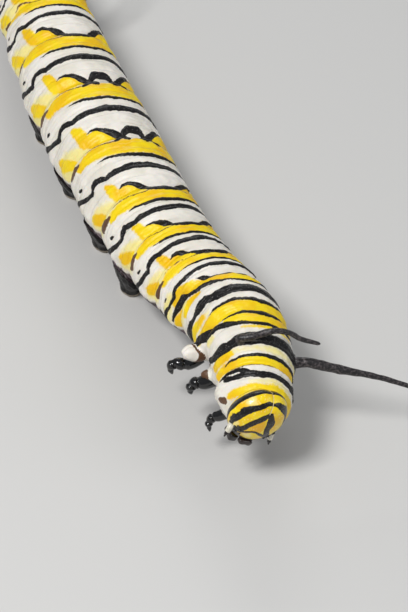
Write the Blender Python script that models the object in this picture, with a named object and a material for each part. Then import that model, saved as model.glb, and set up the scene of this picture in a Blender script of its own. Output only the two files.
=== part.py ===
"""A fifth-stage monarch larva, life size, crawling on level ground.

The animal faces -Y with its back up and its left side towards +X. Lengths below are in
millimetres and angles in degrees. Meshes are written in metres. The floor is z = 0, and the
origin lies on it under the middle of the animal's box.
"""
import math

import bmesh
import bpy
from mathutils import Vector

MM = 0.001
GAP = 0.32

# The middle of the whole box, measured on the floor from the middle of abdomen_4.
MIDDLE_X = 3.58
MIDDLE_Y = 0.70

# The body, from front to rear: length, heading (positive turns to its left), nose-up pitch,
# roll (positive leans the back to its left), half width and half height.
SEGMENTS = (
    ("thorax_1", 1.5, -17.0, -12.0, 15.0, 1.98, 1.98),
    ("thorax_2", 3.25, -13.0, -3.0, 14.0, 2.22, 2.22),
    ("thorax_3", 3.3, 2.0, 13.0, 6.0, 2.44, 2.42),
    ("abdomen_1", 2.8, 10.0, 12.0, 3.0, 2.52, 2.48),
    ("abdomen_2", 2.65, 9.0, 4.0, 3.0, 2.62, 2.54),
    ("abdomen_3", 3.15, 6.0, 0.5, 4.0, 2.76, 2.64),
    ("abdomen_4", 4.1, 2.0, 0.0, 4.0, 2.90, 2.74),
    ("abdomen_5", 4.8, 2.0, 0.0, 3.0, 2.98, 2.80),
    ("abdomen_6", 4.2, -1.5, 0.0, 2.0, 2.86, 2.74),
    ("abdomen_7", 3.3, -4.0, 1.0, 1.0, 2.66, 2.60),
    ("abdomen_8", 2.9, -6.0, 3.5, 0.0, 2.42, 2.38),
    ("abdomen_9", 1.6, -7.0, 7.0, 0.0, 2.12, 2.06),
    ("abdomen_10", 2.7, -7.0, 10.0, 0.0, 1.70, 1.60),
)
NAMES = [row[0] for row in SEGMENTS]
ANCHOR = "abdomen_4"
ANCHOR_HEIGHT = 3.45
SPINE_STEP = 0.05

# Rings of each segment, as shares of its length, and the folds between and inside segments.
RING_SHARES = (0.0, 0.06, 0.17, 0.27, 0.33, 0.42, 0.54, 0.64, 0.70, 0.82, 0.94, 1.0)
SIDES = 24
END_FOLD_DEPTH = 0.30
END_FOLD_WIDTH = 0.07
RING_FOLD_SHARES = (0.31, 0.67)
RING_FOLD_DEPTH = 0.07
RING_FOLD_WIDTH = 0.035
BELLY_FLATNESS = 0.16

# Swellings of the skin: angle from the back, share of the length, height, spread of angle
# and spread of length share. Each is on both sides.
FLANK_LOBE = (106.0, 0.50, 0.20, 15.0, 0.26)
SHOULDER_LOBE = (100.0, 0.50, 0.30, 20.0, 0.34)
PROLEG_LOBE = (147.0, 0.50, 0.22, 16.0, 0.24)
# The swelling that each filament grows from: angle on the left and on the right, then as above.
FILAMENT_LOBES = {
    "thorax_2": (68.0, -38.0, 0.37, 0.16, 11.0, 0.12),
    "abdomen_8": (58.0, -42.0, 0.35, 0.16, 11.0, 0.12),
}
# The swelling that each true leg grows from, by segment.
LEG_LOBES = {
    "thorax_1": (150.0, 0.34, 0.34, 17.0, 0.26),
    "thorax_2": (137.0, 0.46, 0.42, 17.0, 0.20),
    "thorax_3": (128.0, 0.34, 0.42, 17.0, 0.20),
}
# The plate over the tail: half its angle, where it starts and ends, and its height.
ANAL_PLATE = (58.0, 0.20, 0.88, 0.15)
PROLEGGED = ("abdomen_3", "abdomen_4", "abdomen_5", "abdomen_6")

# Colours.
WHITE = (0.80, 0.78, 0.66)
YELLOW = (0.85, 0.60, 0.05)
BLACK = (0.02, 0.02, 0.02)
GREY = (0.12, 0.10, 0.11)


def clear_scene():
    for item in list(bpy.data.objects):
        bpy.data.objects.remove(item, do_unlink=True)


def material(name, colour, roughness=0.45):
    made = bpy.data.materials.new(name)
    made.use_nodes = True
    shader = made.node_tree.nodes["Principled BSDF"]
    shader.inputs["Base Color"].default_value = (*colour, 1.0)
    shader.inputs["Roughness"].default_value = roughness
    return made


def swell(value, centre, spread):
    """A smooth bump of height 1 at the centre."""
    return math.exp(-(((value - centre) / spread) ** 2))


# The spine

def segment_starts():
    starts = [0.0]
    for row in SEGMENTS:
        starts.append(starts[-1] + row[1])
    return starts


STARTS = segment_starts()
MIDDLES = [(a + b) / 2 for a, b in zip(STARTS, STARTS[1:])]
BODY_LENGTH = STARTS[-1]


def along_body(column, place):
    """A segment value read at a place along the body, eased between segment middles."""
    if place <= MIDDLES[0]:
        return SEGMENTS[0][column]
    if place >= MIDDLES[-1]:
        return SEGMENTS[-1][column]
    k = max(i for i, middle in enumerate(MIDDLES) if middle <= place)
    share = (place - MIDDLES[k]) / (MIDDLES[k + 1] - MIDDLES[k])
    eased = share * share * (3 - 2 * share) * 0.5 + share * 0.5
    return SEGMENTS[k][column] * (1 - eased) + SEGMENTS[k + 1][column] * eased


def directions(heading, pitch, roll):
    """Forward, left and up for a heading, a nose-up pitch and a roll to the left."""
    heading, pitch, roll = (math.radians(angle) for angle in (heading, pitch, roll))
    forward = Vector((
        math.sin(heading) * math.cos(pitch),
        -math.cos(heading) * math.cos(pitch),
        math.sin(pitch),
    ))
    level_left = Vector((0, 0, 1)).cross(forward).normalized()
    level_up = forward.cross(level_left)
    left = level_left * math.cos(roll) - level_up * math.sin(roll)
    up = level_up * math.cos(roll) + level_left * math.sin(roll)
    return forward, left, up


def facing(place):
    """The forward, left and up directions of the body at a place along it."""
    return directions(*(along_body(column, place) for column in (2, 3, 4)))


def trace_spine():
    """Points of the centre line at equal steps, with the anchor segment's middle fixed."""
    steps = int(BODY_LENGTH / SPINE_STEP) + 1
    points = [Vector((0, 0, 0))]
    for k in range(1, steps + 1):
        forward = facing((k - 0.5) * SPINE_STEP)[0]
        points.append(points[-1] - forward * SPINE_STEP)
    anchor = points[round(MIDDLES[NAMES.index(ANCHOR)] / SPINE_STEP)]
    shift = Vector((-MIDDLE_X, -MIDDLE_Y, ANCHOR_HEIGHT)) - anchor
    return [point + shift for point in points]


SPINE = trace_spine()


def centre_at(place):
    forward = facing(place)[0]
    if place <= 0:
        return SPINE[0] - forward * place
    k = min(int(place / SPINE_STEP), len(SPINE) - 2)
    share = place / SPINE_STEP - k
    return SPINE[k].lerp(SPINE[k + 1], share)


# The skin of the body

def lobe(sizes, angle, share):
    at_angle, at_share, height, angle_spread, share_spread = sizes
    return height * swell(abs(angle), at_angle, angle_spread) * swell(share, at_share, share_spread)


def filament_lobes(name, angle, share):
    """The two swellings that carry a pair of filaments."""
    left_angle, right_angle, at_share, height, angle_spread, share_spread = FILAMENT_LOBES[name]
    around = swell(angle, left_angle, angle_spread) + swell(angle, right_angle, angle_spread)
    return height * around * swell(share, at_share, share_spread)


def plate_height(angle, share):
    half_angle, start, end, height = ANAL_PLATE
    inside = min((half_angle - abs(angle)) / 6, (share - start) / 0.05, (end - share) / 0.05)
    return height * min(max(inside, 0.0), 1.0)


def tail_closing(share):
    """How the last segment narrows to its rounded end."""
    return math.sqrt(max(1 - (max(share - 0.25, 0) / 0.78) ** 2.6, 0.0))


def neck_closing(share):
    """How the first segment narrows towards the head."""
    return 1 - 0.08 * (1 - min(share / 0.55, 1.0)) ** 2


def skin_reach(name, share, angle):
    """Sideways and upward reach of the skin, for an angle from the back, positive to the left."""
    k = NAMES.index(name)
    place = STARTS[k] + share * SEGMENTS[k][1]
    half_width = along_body(5, place)
    half_height = along_body(6, place)
    angle = (angle + 180) % 360 - 180
    turn = math.radians(angle)
    flat = 1 - BELLY_FLATNESS * max(-math.cos(turn), 0) ** 2
    across = half_width * math.sin(turn)
    upward = half_height * math.cos(turn) * flat
    reach = math.hypot(across, upward)
    extra = -END_FOLD_DEPTH * (swell(share, 0, END_FOLD_WIDTH) + swell(share, 1, END_FOLD_WIDTH))
    for fold in RING_FOLD_SHARES:
        extra -= RING_FOLD_DEPTH * swell(share, fold, RING_FOLD_WIDTH)
    if name.startswith("abdomen") and name not in ("abdomen_9", "abdomen_10"):
        extra += lobe(FLANK_LOBE, angle, share)
    if name in LEG_LOBES:
        extra += lobe(LEG_LOBES[name], angle, share)
    if name == "thorax_1":
        extra += lobe(SHOULDER_LOBE, angle, share)
    if name == "abdomen_10":
        extra += plate_height(angle, share)
    if name in PROLEGGED:
        extra += lobe(PROLEG_LOBE, angle, share)
    if name in FILAMENT_LOBES:
        extra += filament_lobes(name, angle, share)
    scale = 1 + extra / reach
    if name == "abdomen_10":
        scale *= tail_closing(share)
    if name == "thorax_1":
        scale *= neck_closing(share)
    return across * scale, upward * scale


def skin_point(name, share, angle, proud=0.0):
    """A point on the skin, or proud of it, square to the centre line."""
    k = NAMES.index(name)
    place = STARTS[k] + share * SEGMENTS[k][1]
    across, upward = skin_reach(name, share, angle)
    out = Vector((across, upward))
    out = out * (1 + proud / out.length)
    forward, left, up = facing(place)
    return centre_at(place) + left * out.x + up * out.y


# Making solids

def loft(name, rings, paint, front=None, back=None):
    """A closed body through rings of points, ended by fans about a front and a back point."""
    made = bmesh.new()
    rows = [[made.verts.new(point * MM) for point in ring] for ring in rings]
    count = len(rows[0])
    for row, following in zip(rows, rows[1:]):
        for k in range(count):
            n = (k + 1) % count
            made.faces.new((row[k], row[n], following[n], following[k]))
    for row, centre in ((rows[0], front), (rows[-1], back)):
        if centre is None:
            centre = sum((corner.co for corner in row), Vector()) / count / MM
        hub = made.verts.new(centre * MM)
        for k in range(count):
            made.faces.new((row[k], row[(k + 1) % count], hub))
    return finish(name, made, paint)


def finish(name, made, paint):
    bmesh.ops.triangulate(made, faces=made.faces)
    bmesh.ops.recalc_face_normals(made, faces=made.faces)
    if made.calc_volume(signed=True) < 0:
        bmesh.ops.reverse_faces(made, faces=made.faces)
    mesh = bpy.data.meshes.new(name)
    made.to_mesh(mesh)
    made.free()
    mesh.shade_smooth()
    mesh.set_sharp_from_angle(angle=math.radians(40))
    mesh.materials.append(paint)
    thing = bpy.data.objects.new(name, mesh)
    bpy.context.collection.objects.link(thing)
    return thing


def small_ball(centre, radius, paint):
    rings = []
    x, y, z = Vector((1, 0, 0)), Vector((0, 1, 0)), Vector((0, 0, 1))
    for tilt in (-54, -18, 18, 54):
        level = math.radians(tilt)
        size = radius * math.cos(level)
        rings.append(circle(centre + z * radius * math.sin(level), x, y, size, size, 8))
    return loft("ball", rings, paint, front=centre - z * radius, back=centre + z * radius)


def keep_largest(thing):
    """Leave only the largest closed surface of a mesh."""
    made = bmesh.new()
    made.from_mesh(thing.data)
    left_over = set(made.faces)
    shells = []
    while left_over:
        shell = set()
        waiting = [left_over.pop()]
        while waiting:
            face = waiting.pop()
            shell.add(face)
            for edge in face.edges:
                for other in edge.link_faces:
                    if other in left_over:
                        left_over.remove(other)
                        waiting.append(other)
        shells.append(shell)
    largest = max(shells, key=len)
    small = [face for shell in shells if shell is not largest for face in shell]
    bmesh.ops.delete(made, geom=small, context="FACES")
    bmesh.ops.triangulate(made, faces=made.faces)
    made.to_mesh(thing.data)
    made.free()


def circle(centre, across, upward, half_across, half_up, sides):
    """A ring of points about a centre."""
    ring = []
    for k in range(sides):
        turn = 2 * math.pi * k / sides
        ring.append(centre + across * half_across * math.cos(turn) + upward * half_up * math.sin(turn))
    return ring


def smooth_path(points, count):
    """Equally spread places on a curve through points, as a Catmull-Rom spline."""
    ends = [points[0] * 2 - points[1], *points, points[-1] * 2 - points[-2]]
    path = []
    for k in range(count):
        place = k / (count - 1) * (len(points) - 1)
        i = min(int(place), len(points) - 2)
        t = place - i
        a, b, c, d = ends[i:i + 4]
        path.append(0.5 * (
            2 * b + (c - a) * t + (2 * a - 5 * b + 4 * c - d) * t * t
            + (3 * b - a - 3 * c + d) * t * t * t
        ))
    return path


def swept(name, path, radii, sides, paint, start_normal=None):
    """A round limb along a path, with a radius at each of its points."""
    rings = []
    side = None
    for k, point in enumerate(path):
        ahead = path[min(k + 1, len(path) - 1)] - path[max(k - 1, 0)]
        ahead = ahead.normalized()
        if k == 0 and start_normal is not None:
            ahead = (ahead + start_normal.normalized()).normalized()
        if side is None:
            side = ahead.orthogonal().normalized()
        side = (side - ahead * side.dot(ahead)).normalized()
        rings.append(circle(point, side, ahead.cross(side), radii[k], radii[k], sides))
    return loft(name, rings, paint, front=path[0], back=path[-1])


def spread(values, count):
    """Values spread evenly over a count, by straight lines."""
    made = []
    for k in range(count):
        place = k / (count - 1) * (len(values) - 1)
        i = min(int(place), len(values) - 2)
        made.append(values[i] + (values[i + 1] - values[i]) * (place - i))
    return made


# Body segments

def body_segment(name, paint):
    k = NAMES.index(name)
    length = SEGMENTS[k][1]
    inset = GAP / 2 / length
    low = inset if k > 0 else 0.0
    high = 1 - inset if k < len(SEGMENTS) - 1 else 1.0
    rings = []
    for share in RING_SHARES:
        at = low + (high - low) * share
        rings.append([skin_point(name, at, 360 * i / SIDES) for i in range(SIDES)])
    loft(name, rings, paint)


# Prolegs

# Rings of a proleg from its sole up: share of the way to the root, and width.
PROLEG_RINGS = ((0.0, 0.80), (0.10, 1.0), (0.26, 1.0), (0.42, 0.88), (0.65, 0.96), (1.0, 1.0))
PROLEG_SIDES = 14
PROLEG_SOLE_OUT = 1.45
PROLEG_SOLE = (0.62, 0.58)
PROLEG_ROOT = (0.88, 0.66)
PROLEG_ROOT_ANGLE = 149.0
ANAL_SOLE_OUT = 0.98
ANAL_SOLE = (0.70, 0.50)
ANAL_ROOT = (0.74, 0.50)


def proleg(node, name, share, side, sole_out, sole, root, paint):
    """A stumpy leg from a flat sole on the floor to a disc that faces the belly."""
    k = NAMES.index(name)
    place = STARTS[k] + share * SEGMENTS[k][1]
    forward, left, _ = facing(place)
    forward = Vector((forward.x, forward.y, 0)).normalized()
    left = Vector((left.x, left.y, 0)).normalized()
    centre = centre_at(place)
    sole_centre = Vector((centre.x, centre.y, 0)) + left * side * sole_out
    root_centre = skin_point(name, share, side * PROLEG_ROOT_ANGLE, GAP)
    inward = skin_point(name, share, side * PROLEG_ROOT_ANGLE) - root_centre
    tilt = math.atan2(inward.dot(left), inward.z)
    rings = []
    for rise, width in PROLEG_RINGS:
        middle = sole_centre.lerp(root_centre, rise)
        across = left * math.cos(tilt * rise) - Vector((0, 0, 1)) * math.sin(tilt * rise)
        half_long = (sole[0] + (root[0] - sole[0]) * rise) * width
        half_wide = (sole[1] + (root[1] - sole[1]) * rise) * width
        rings.append(circle(middle, across, forward, half_wide, half_long, PROLEG_SIDES))
    loft(node, rings, paint)


def make_prolegs(paint):
    for side, letter in ((1, "l"), (-1, "r")):
        for name in PROLEGGED:
            proleg(
                f"proleg_{name[-1]}_{letter}", name, 0.5, side,
                PROLEG_SOLE_OUT, PROLEG_SOLE, PROLEG_ROOT, paint,
            )
        proleg(
            f"proleg_anal_{letter}", "abdomen_10", 0.42, side,
            ANAL_SOLE_OUT, ANAL_SOLE, ANAL_ROOT, paint,
        )


# True legs

LEG_RADII = (0.34, 0.33, 0.30, 0.31, 0.28, 0.25, 0.27, 0.23, 0.19, 0.15, 0.11, 0.08)
LEG_SIDES = 10
# Places along a leg from its root, in steps out from the body, forward and up.
LEG_BENDS = {
    "leg_1_l": ((0, 0, 0), (0.16, 0.0, -0.24), (0.30, 0.04, -0.48), (0.32, 0.14, -0.74), (0.24, 0.24, -1.0)),
    "leg_1_r": ((0, 0, 0), (0.30, -0.10, -0.20), (0.50, -0.02, -0.55), (0.42, 0.18, -1.0)),
    "leg_2_l": ((0, 0, 0), (0.34, -0.02, -0.14), (0.56, 0.06, -0.38), (0.58, 0.14, -0.66), (0.46, 0.22, -0.96)),
    "leg_2_r": ((0, 0, 0), (0.38, -0.08, -0.08), (0.66, -0.04, -0.24), (0.74, 0.04, -0.48), (0.66, 0.10, -0.78)),
    "leg_3_l": ((0, 0, 0), (0.40, 0.0, -0.16), (0.72, 0.0, -0.34), (0.84, 0.04, -0.64), (0.74, 0.10, -1.0)),
    "leg_3_r": ((0, 0, 0), (0.42, -0.06, -0.20), (0.90, -0.24, -0.18), (1.12, -0.26, -0.50), (1.0, -0.18, -0.92)),
}


def leg(node, name, side, paint):
    """A jointed leg that hangs free of the floor and ends in a curved claw."""
    k = NAMES.index(name)
    root_angle, root_share = LEG_LOBES[name][:2]
    forward, left, _ = facing(STARTS[k] + root_share * SEGMENTS[k][1])
    forward = Vector((forward.x, forward.y, 0)).normalized()
    left = Vector((left.x, left.y, 0)).normalized()
    root = skin_point(name, root_share, side * root_angle, GAP)
    outward = root - skin_point(name, root_share, side * root_angle)
    points = [
        root + left * side * out + forward * ahead + Vector((0, 0, rise))
        for out, ahead, rise in LEG_BENDS[node]
    ]
    path = smooth_path(points, len(LEG_RADII))
    swept(node, path, LEG_RADII, LEG_SIDES, paint, start_normal=outward)


# Filaments

FRONT_FILAMENT_RADII = (0.34, 0.30, 0.27, 0.26, 0.25, 0.24, 0.20, 0.14)
REAR_FILAMENT_RADII = (0.36, 0.30, 0.27, 0.25, 0.22, 0.16)
FILAMENT_SIDES = 8
FILAMENT_RINGS = 16
# Each filament: its segment, its side, and places along it from its root, in steps to the
# left, forward and up.
FILAMENTS = {
    "filament_front_l": (
        "thorax_2", 1,
        (
            (0, 0, 0), (0.5, 0.06, 0.10), (2.0, 0.17, 0.08), (4.15, 0.35, 0.15),
            (5.85, 0.60, 0.12), (7.4, 0.85, 0.0),
        ),
    ),
    "filament_front_r": (
        "thorax_2", -1,
        (
            (0, 0, 0), (0.12, 0.08, 0.34), (0.55, 0.10, 0.56), (1.10, 0.0, 0.80), (1.75, -0.06, 1.16),
            (2.60, -0.15, 1.05), (3.50, -0.25, 0.52), (4.70, -0.30, 0.22),
        ),
    ),
    "filament_rear_l": (
        "abdomen_8", 1,
        ((0, 0, 0), (0.5, -0.3, 0.8), (1.0, -1.7, 2.1), (1.1, -3.6, 2.7)),
    ),
    "filament_rear_r": (
        "abdomen_8", -1,
        ((0, 0, 0), (-0.5, -0.3, 0.8), (-1.0, -1.7, 2.1), (-1.1, -3.6, 2.7)),
    ),
}


def filament(node, paint):
    """A tapering feeler that grows from the swelling on its segment."""
    name, side, bends = FILAMENTS[node]
    left_angle, right_angle, share = FILAMENT_LOBES[name][:3]
    angle = left_angle if side > 0 else right_angle
    k = NAMES.index(name)
    forward, left, up = facing(STARTS[k] + share * SEGMENTS[k][1])
    root = skin_point(name, share, angle, GAP)
    outward = root - skin_point(name, share, angle)
    points = [root + left * step[0] + forward * step[1] + up * step[2] for step in bends]
    path = smooth_path(points, FILAMENT_RINGS)
    radii = REAR_FILAMENT_RADII if name == "abdomen_8" else FRONT_FILAMENT_RADII
    swept(node, path, spread(radii, FILAMENT_RINGS), FILAMENT_SIDES, paint, start_normal=outward)


# The head

HEAD_HALF_WIDTH = 1.66
HEAD_TOP = 1.86
HEAD_BOTTOM = 1.60
HEAD_DEPTH = 1.10
HEAD_BACK = 0.16
HEAD_GAP = 0.48
HEAD_HEADING = -4.4
HEAD_PITCH = -6.2
HEAD_ROLL = 25.0
HEAD_RISE = 0.37
HEAD_SHIFT = -0.28
HEAD_SIDES = 32
HEAD_RING_TURNS = (0, 10, 20, 30, 40, 50, 60, 70, 80)
NOTCH_DEPTH = 0.07
STEMMA_RADIUS = 0.12
# Places of the six small eyes of one side: out from the middle, and up, on the face.
STEMMATA = ((1.16, -0.36), (1.24, -0.52), (1.20, -0.70), (1.04, -0.82), (0.84, -0.82), (0.94, -0.58))


def head_frame():
    """The head's centre, and its left, forward and up directions."""
    forward, left, up = directions(HEAD_HEADING, HEAD_PITCH, HEAD_ROLL)
    body_forward, _, body_up = facing(0.0)
    centre = centre_at(0.0) + body_forward * (HEAD_GAP + HEAD_BACK) + body_up * HEAD_RISE
    centre += left * HEAD_SHIFT
    return centre, left, forward, up


def head_outline(turn):
    """Sideways and upward reach of the head seen from the front, by turn from the top."""
    across = HEAD_HALF_WIDTH * math.sin(turn)
    level = math.cos(turn)
    height = HEAD_TOP if level > 0 else HEAD_BOTTOM
    narrow = 1 - 0.16 * max(-level, 0) ** 2
    notch = 1 - NOTCH_DEPTH * swell(math.degrees(math.atan2(math.sin(turn), math.cos(turn))), 0, 14)
    return across * narrow * notch, height * level * notch


def head_depth(rise):
    return HEAD_DEPTH * math.sin(rise) ** 0.92


def make_head(paint):
    centre, _, forward, _ = head_frame()
    rings = []
    turns = [2 * math.pi * k / HEAD_SIDES for k in range(HEAD_SIDES)]
    back_shares = ((-HEAD_BACK, 0.84), (-HEAD_BACK * 0.55, 0.95))
    for depth, share in back_shares:
        rings.append([head_point(turn, share, depth) for turn in turns])
    for rise_degrees in HEAD_RING_TURNS:
        rise = math.radians(rise_degrees)
        share = math.cos(rise) ** 0.86
        rings.append([head_point(turn, share, head_depth(rise)) for turn in turns])
    head = loft("head", rings, paint, back=centre + forward * HEAD_DEPTH)
    add_stemmata(head, paint)


def add_stemmata(head, paint):
    """The six small round eyes low on each side of the head, fused to it."""
    eyes = bpy.data.collections.new("stemmata")
    for side in (1, -1):
        for out, rise in STEMMATA:
            eye = small_ball(face_point(side * out, rise), STEMMA_RADIUS, paint)
            bpy.context.collection.objects.unlink(eye)
            eyes.objects.link(eye)
    union = head.modifiers.new("union", "BOOLEAN")
    union.operand_type = "COLLECTION"
    union.collection = eyes
    union.operation = "UNION"
    union.solver = "EXACT"
    bpy.context.view_layer.objects.active = head
    bpy.ops.object.modifier_apply(modifier=union.name)
    for eye in list(eyes.objects):
        bpy.data.objects.remove(eye, do_unlink=True)
    bpy.data.collections.remove(eyes)
    keep_largest(head)


def face_point(out, rise):
    """The point on the front of the head for a place out from its middle and a rise."""
    _, left, _, up = head_frame()
    turn = math.atan2(out / HEAD_HALF_WIDTH, rise / (HEAD_TOP if rise > 0 else HEAD_BOTTOM))
    edge = Vector(head_outline(turn))
    share = min(Vector((out, rise)).length / edge.length, 0.99)
    return head_point(turn, share, head_depth(math.acos(share ** (1 / 0.86))))


def head_point(turn, share, depth):
    centre, left, forward, up = head_frame()
    across, upward = head_outline(turn)
    return centre + left * across * share + up * upward * share + forward * depth


def rounded_block(name, centre, axes, halves, paint, power=0.6, sides=12, rows=6):
    """A block with rounded corners, its three directions and its half sizes."""
    def soften(value):
        return math.copysign(abs(value) ** power, value)

    rings = []
    for row in range(1, rows):
        tilt = math.pi * row / rows - math.pi / 2
        ring = []
        for k in range(sides):
            turn = 2 * math.pi * k / sides
            ring.append(
                centre
                + axes[0] * halves[0] * soften(math.cos(tilt)) * soften(math.cos(turn))
                + axes[1] * halves[1] * soften(math.cos(tilt)) * soften(math.sin(turn))
                + axes[2] * halves[2] * soften(math.sin(tilt))
            )
        rings.append(ring)
    front = centre - axes[2] * halves[2]
    back = centre + axes[2] * halves[2]
    return loft(name, rings, paint, front=front, back=back)


def make_mouth(black, pale):
    centre, left, forward, up = head_frame()
    axes = (left, forward, up)
    rounded_block(
        "labrum", centre + forward * 0.80 - up * 1.90, axes, (0.50, 0.24, 0.22), pale,
    )
    for side, letter in ((1, "l"), (-1, "r")):
        rounded_block(
            f"mandible_{letter}", centre + left * side * 0.48 + forward * 0.18 - up * 2.10,
            axes, (0.32, 0.24, 0.28), black,
        )
    rounded_block(
        "labium", centre - forward * 0.48 - up * 2.14, axes, (0.60, 0.20, 0.24), black,
    )
    for side, letter in ((1, "l"), (-1, "r")):
        root = centre + left * side * 1.42 + forward * 0.68 - up * 1.00
        outward = (left * side * 0.20 + forward * 0.40 - up).normalized()
        path = [root + outward * step for step in (0, 0.13, 0.26, 0.38, 0.46)]
        swept(f"antenna_{letter}", path, (0.25, 0.25, 0.25, 0.21, 0.14), 8, black)


def main():
    clear_scene()
    white = material("skin_white", WHITE)
    yellow = material("skin_yellow", YELLOW)
    black = material("hard_black", BLACK, 0.2)
    grey = material("skin_grey", GREY)
    for k, name in enumerate(NAMES):
        body_segment(name, white if k % 2 else yellow)
    make_prolegs(grey)
    for name in LEG_LOBES:
        for side, letter in ((1, "l"), (-1, "r")):
            leg(f"leg_{name[-1]}_{letter}", name, side, black)
    for node in FILAMENTS:
        filament(node, grey)
    make_head(yellow)
    make_mouth(black, white)


main()
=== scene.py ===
import math

import bpy
import numpy as np
from mathutils import Matrix, Vector


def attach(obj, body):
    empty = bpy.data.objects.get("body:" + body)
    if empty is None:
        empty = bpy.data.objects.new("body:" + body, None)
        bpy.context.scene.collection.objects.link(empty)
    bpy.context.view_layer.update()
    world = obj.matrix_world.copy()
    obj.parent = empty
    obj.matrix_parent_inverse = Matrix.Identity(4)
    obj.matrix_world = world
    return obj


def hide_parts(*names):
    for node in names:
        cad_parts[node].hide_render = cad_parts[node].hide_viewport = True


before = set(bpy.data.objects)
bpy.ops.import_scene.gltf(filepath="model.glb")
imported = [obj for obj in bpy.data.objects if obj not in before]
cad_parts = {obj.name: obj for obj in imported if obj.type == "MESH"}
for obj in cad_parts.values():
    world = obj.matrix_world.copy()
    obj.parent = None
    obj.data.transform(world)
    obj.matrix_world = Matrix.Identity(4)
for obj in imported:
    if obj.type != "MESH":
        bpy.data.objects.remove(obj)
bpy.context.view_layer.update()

MM = 0.001
# The gap between the solids, and how far out from the skin the limbs are rooted.
GAP = 0.32
# The shift that puts the middle of the model's box over the origin.
MIDDLE_X = 3.58
MIDDLE_Y = 0.70

# The body, from front to rear: length, heading, pitch, roll, half width and half height, and
# how far the folds and bands lean back on the right side.
SEGMENTS = (
    ("thorax_1", 1.5, -17, -12, 15, 1.98, 1.98, 5),
    ("thorax_2", 3.25, -13, -3, 14, 2.22, 2.22, 3),
    ("thorax_3", 3.3, 2, 13, 6, 2.44, 2.42, 9),
    ("abdomen_1", 2.8, 10, 12, 3, 2.52, 2.48, 14),
    ("abdomen_2", 2.65, 9, 4, 3, 2.62, 2.54, 9),
    ("abdomen_3", 3.15, 6, 0.5, 4, 2.76, 2.64, 6),
    ("abdomen_4", 4.1, 2, 0, 4, 2.9, 2.74, 10),
    ("abdomen_5", 4.8, 2, 0, 3, 2.98, 2.8, 7),
    ("abdomen_6", 4.2, -1.5, 0, 2, 2.86, 2.74, 6),
    ("abdomen_7", 3.3, -4, 1, 1, 2.66, 2.6, 4),
    ("abdomen_8", 2.9, -6, 3.5, 0, 2.42, 2.38, 2),
    ("abdomen_9", 1.6, -7, 7, 0, 2.12, 2.06, 0),
    ("abdomen_10", 2.7, -7, 10, 0, 1.7, 1.6, 0),
)
NAMES = [row[0] for row in SEGMENTS]
COLUMNS = np.array([row[1:] for row in SEGMENTS])
LENGTHS = COLUMNS[:, 0]
STARTS = np.concatenate(([0.0], np.cumsum(LENGTHS)))
MIDDLES = (STARTS[:-1] + STARTS[1:]) / 2
BODY_LENGTH = STARTS[-1]
HEADING, PITCH, ROLL, HALF_WIDTH, HALF_HEIGHT, LEAN = range(1, 7)
SPINE_STEP = 0.05
# The segment whose middle is set, and its height over the floor.
ANCHOR = NAMES.index("abdomen_4")
ANCHOR_HEIGHT = 3.45

END_FOLD_DEPTH = 0.26
END_FOLD_WIDTH = 0.06
BELLY_FLATNESS = 0.16
# Swellings of the skin: angle from the back, share of the length, height and the two spreads.
FLANK_LOBE = (106, 0.5, 0.2, 15, 0.26)
SHOULDER_LOBE = (100, 0.5, 0.3, 20, 0.34)
# The left shoulder is stretched by the turn of the head, so it bulges less.
LEFT_SHOULDER = 0.3
PROLEG_LOBE = (147, 0.5, 0.22, 16, 0.24)
# The swelling that each filament grows from: angle on the left and on the right, then as above.
FILAMENT_LOBES = {
    "thorax_2": (68, -38, 0.37, 0.16, 11, 0.12),
    "abdomen_8": (58, -42, 0.35, 0.16, 11, 0.12),
}
LEG_LOBES = {
    "thorax_1": (150, 0.34, 0.34, 17, 0.26),
    "thorax_2": (137, 0.46, 0.42, 17, 0.2),
    "thorax_3": (128, 0.34, 0.42, 17, 0.2),
}
PROLEGGED = ("abdomen_3", "abdomen_4", "abdomen_5", "abdomen_6")
# The paired swellings of each segment. Those of the flanks are on abdomen_1 to abdomen_8.
LOBES = {name: [FLANK_LOBE] for name in NAMES[3:11]}
LOBES.update({name: [sizes] for name, sizes in LEG_LOBES.items()})
for name in PROLEGGED:
    LOBES[name].append(PROLEG_LOBE)
# The tail plate: half its angle, its start and end on the last segment, and its height.
ANAL_PLATE = (58, 0.2, 0.88, 0.15)
PLATE_EDGE_ANGLE = 8
PLATE_EDGE_SHARE = 0.08
# How the skin narrows: by how much and over what length at the neck and inside the head, and
# at the tail from what share of the last segment, over what share and how steeply.
NECK_TAPER = (0.08, 0.8)
HIDDEN_TAPER = (0.25, 0.7)
TAIL_TAPER = (0.25, 0.78, 2.6)

# The bands are symmetrical about this angle from the back.
BAND_MIDDLE = 10.0
SKIN_VOXEL = 0.07


# The spine

UPRIGHT = np.array((0.0, 0.0, 1.0))


def unit(vectors):
    return vectors / np.linalg.norm(vectors, axis=-1, keepdims=True)


def along_body(column, place):
    """A segment value at places along the body, eased between segment middles."""
    place = np.clip(place, MIDDLES[0], MIDDLES[-1])
    k = np.clip(np.searchsorted(MIDDLES, place, side="right") - 1, 0, len(MIDDLES) - 2)
    share = (place - MIDDLES[k]) / (MIDDLES[k + 1] - MIDDLES[k])
    eased = share * share * (3 - 2 * share) * 0.5 + share * 0.5
    return COLUMNS[k, column] * (1 - eased) + COLUMNS[k + 1, column] * eased


def directions(heading, pitch, roll):
    """Forward, left and up for headings, pitches and rolls."""
    heading, pitch, roll = (np.radians(angle) for angle in (heading, pitch, roll))
    forward = np.stack((
        np.sin(heading) * np.cos(pitch),
        -np.cos(heading) * np.cos(pitch),
        np.sin(pitch) + np.zeros_like(heading),
    ), axis=-1)
    level_left = unit(np.cross(UPRIGHT, forward))
    level_up = np.cross(forward, level_left)
    cosine, sine = np.cos(roll)[..., None], np.sin(roll)[..., None]
    return forward, level_left * cosine - level_up * sine, level_up * cosine + level_left * sine


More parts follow.
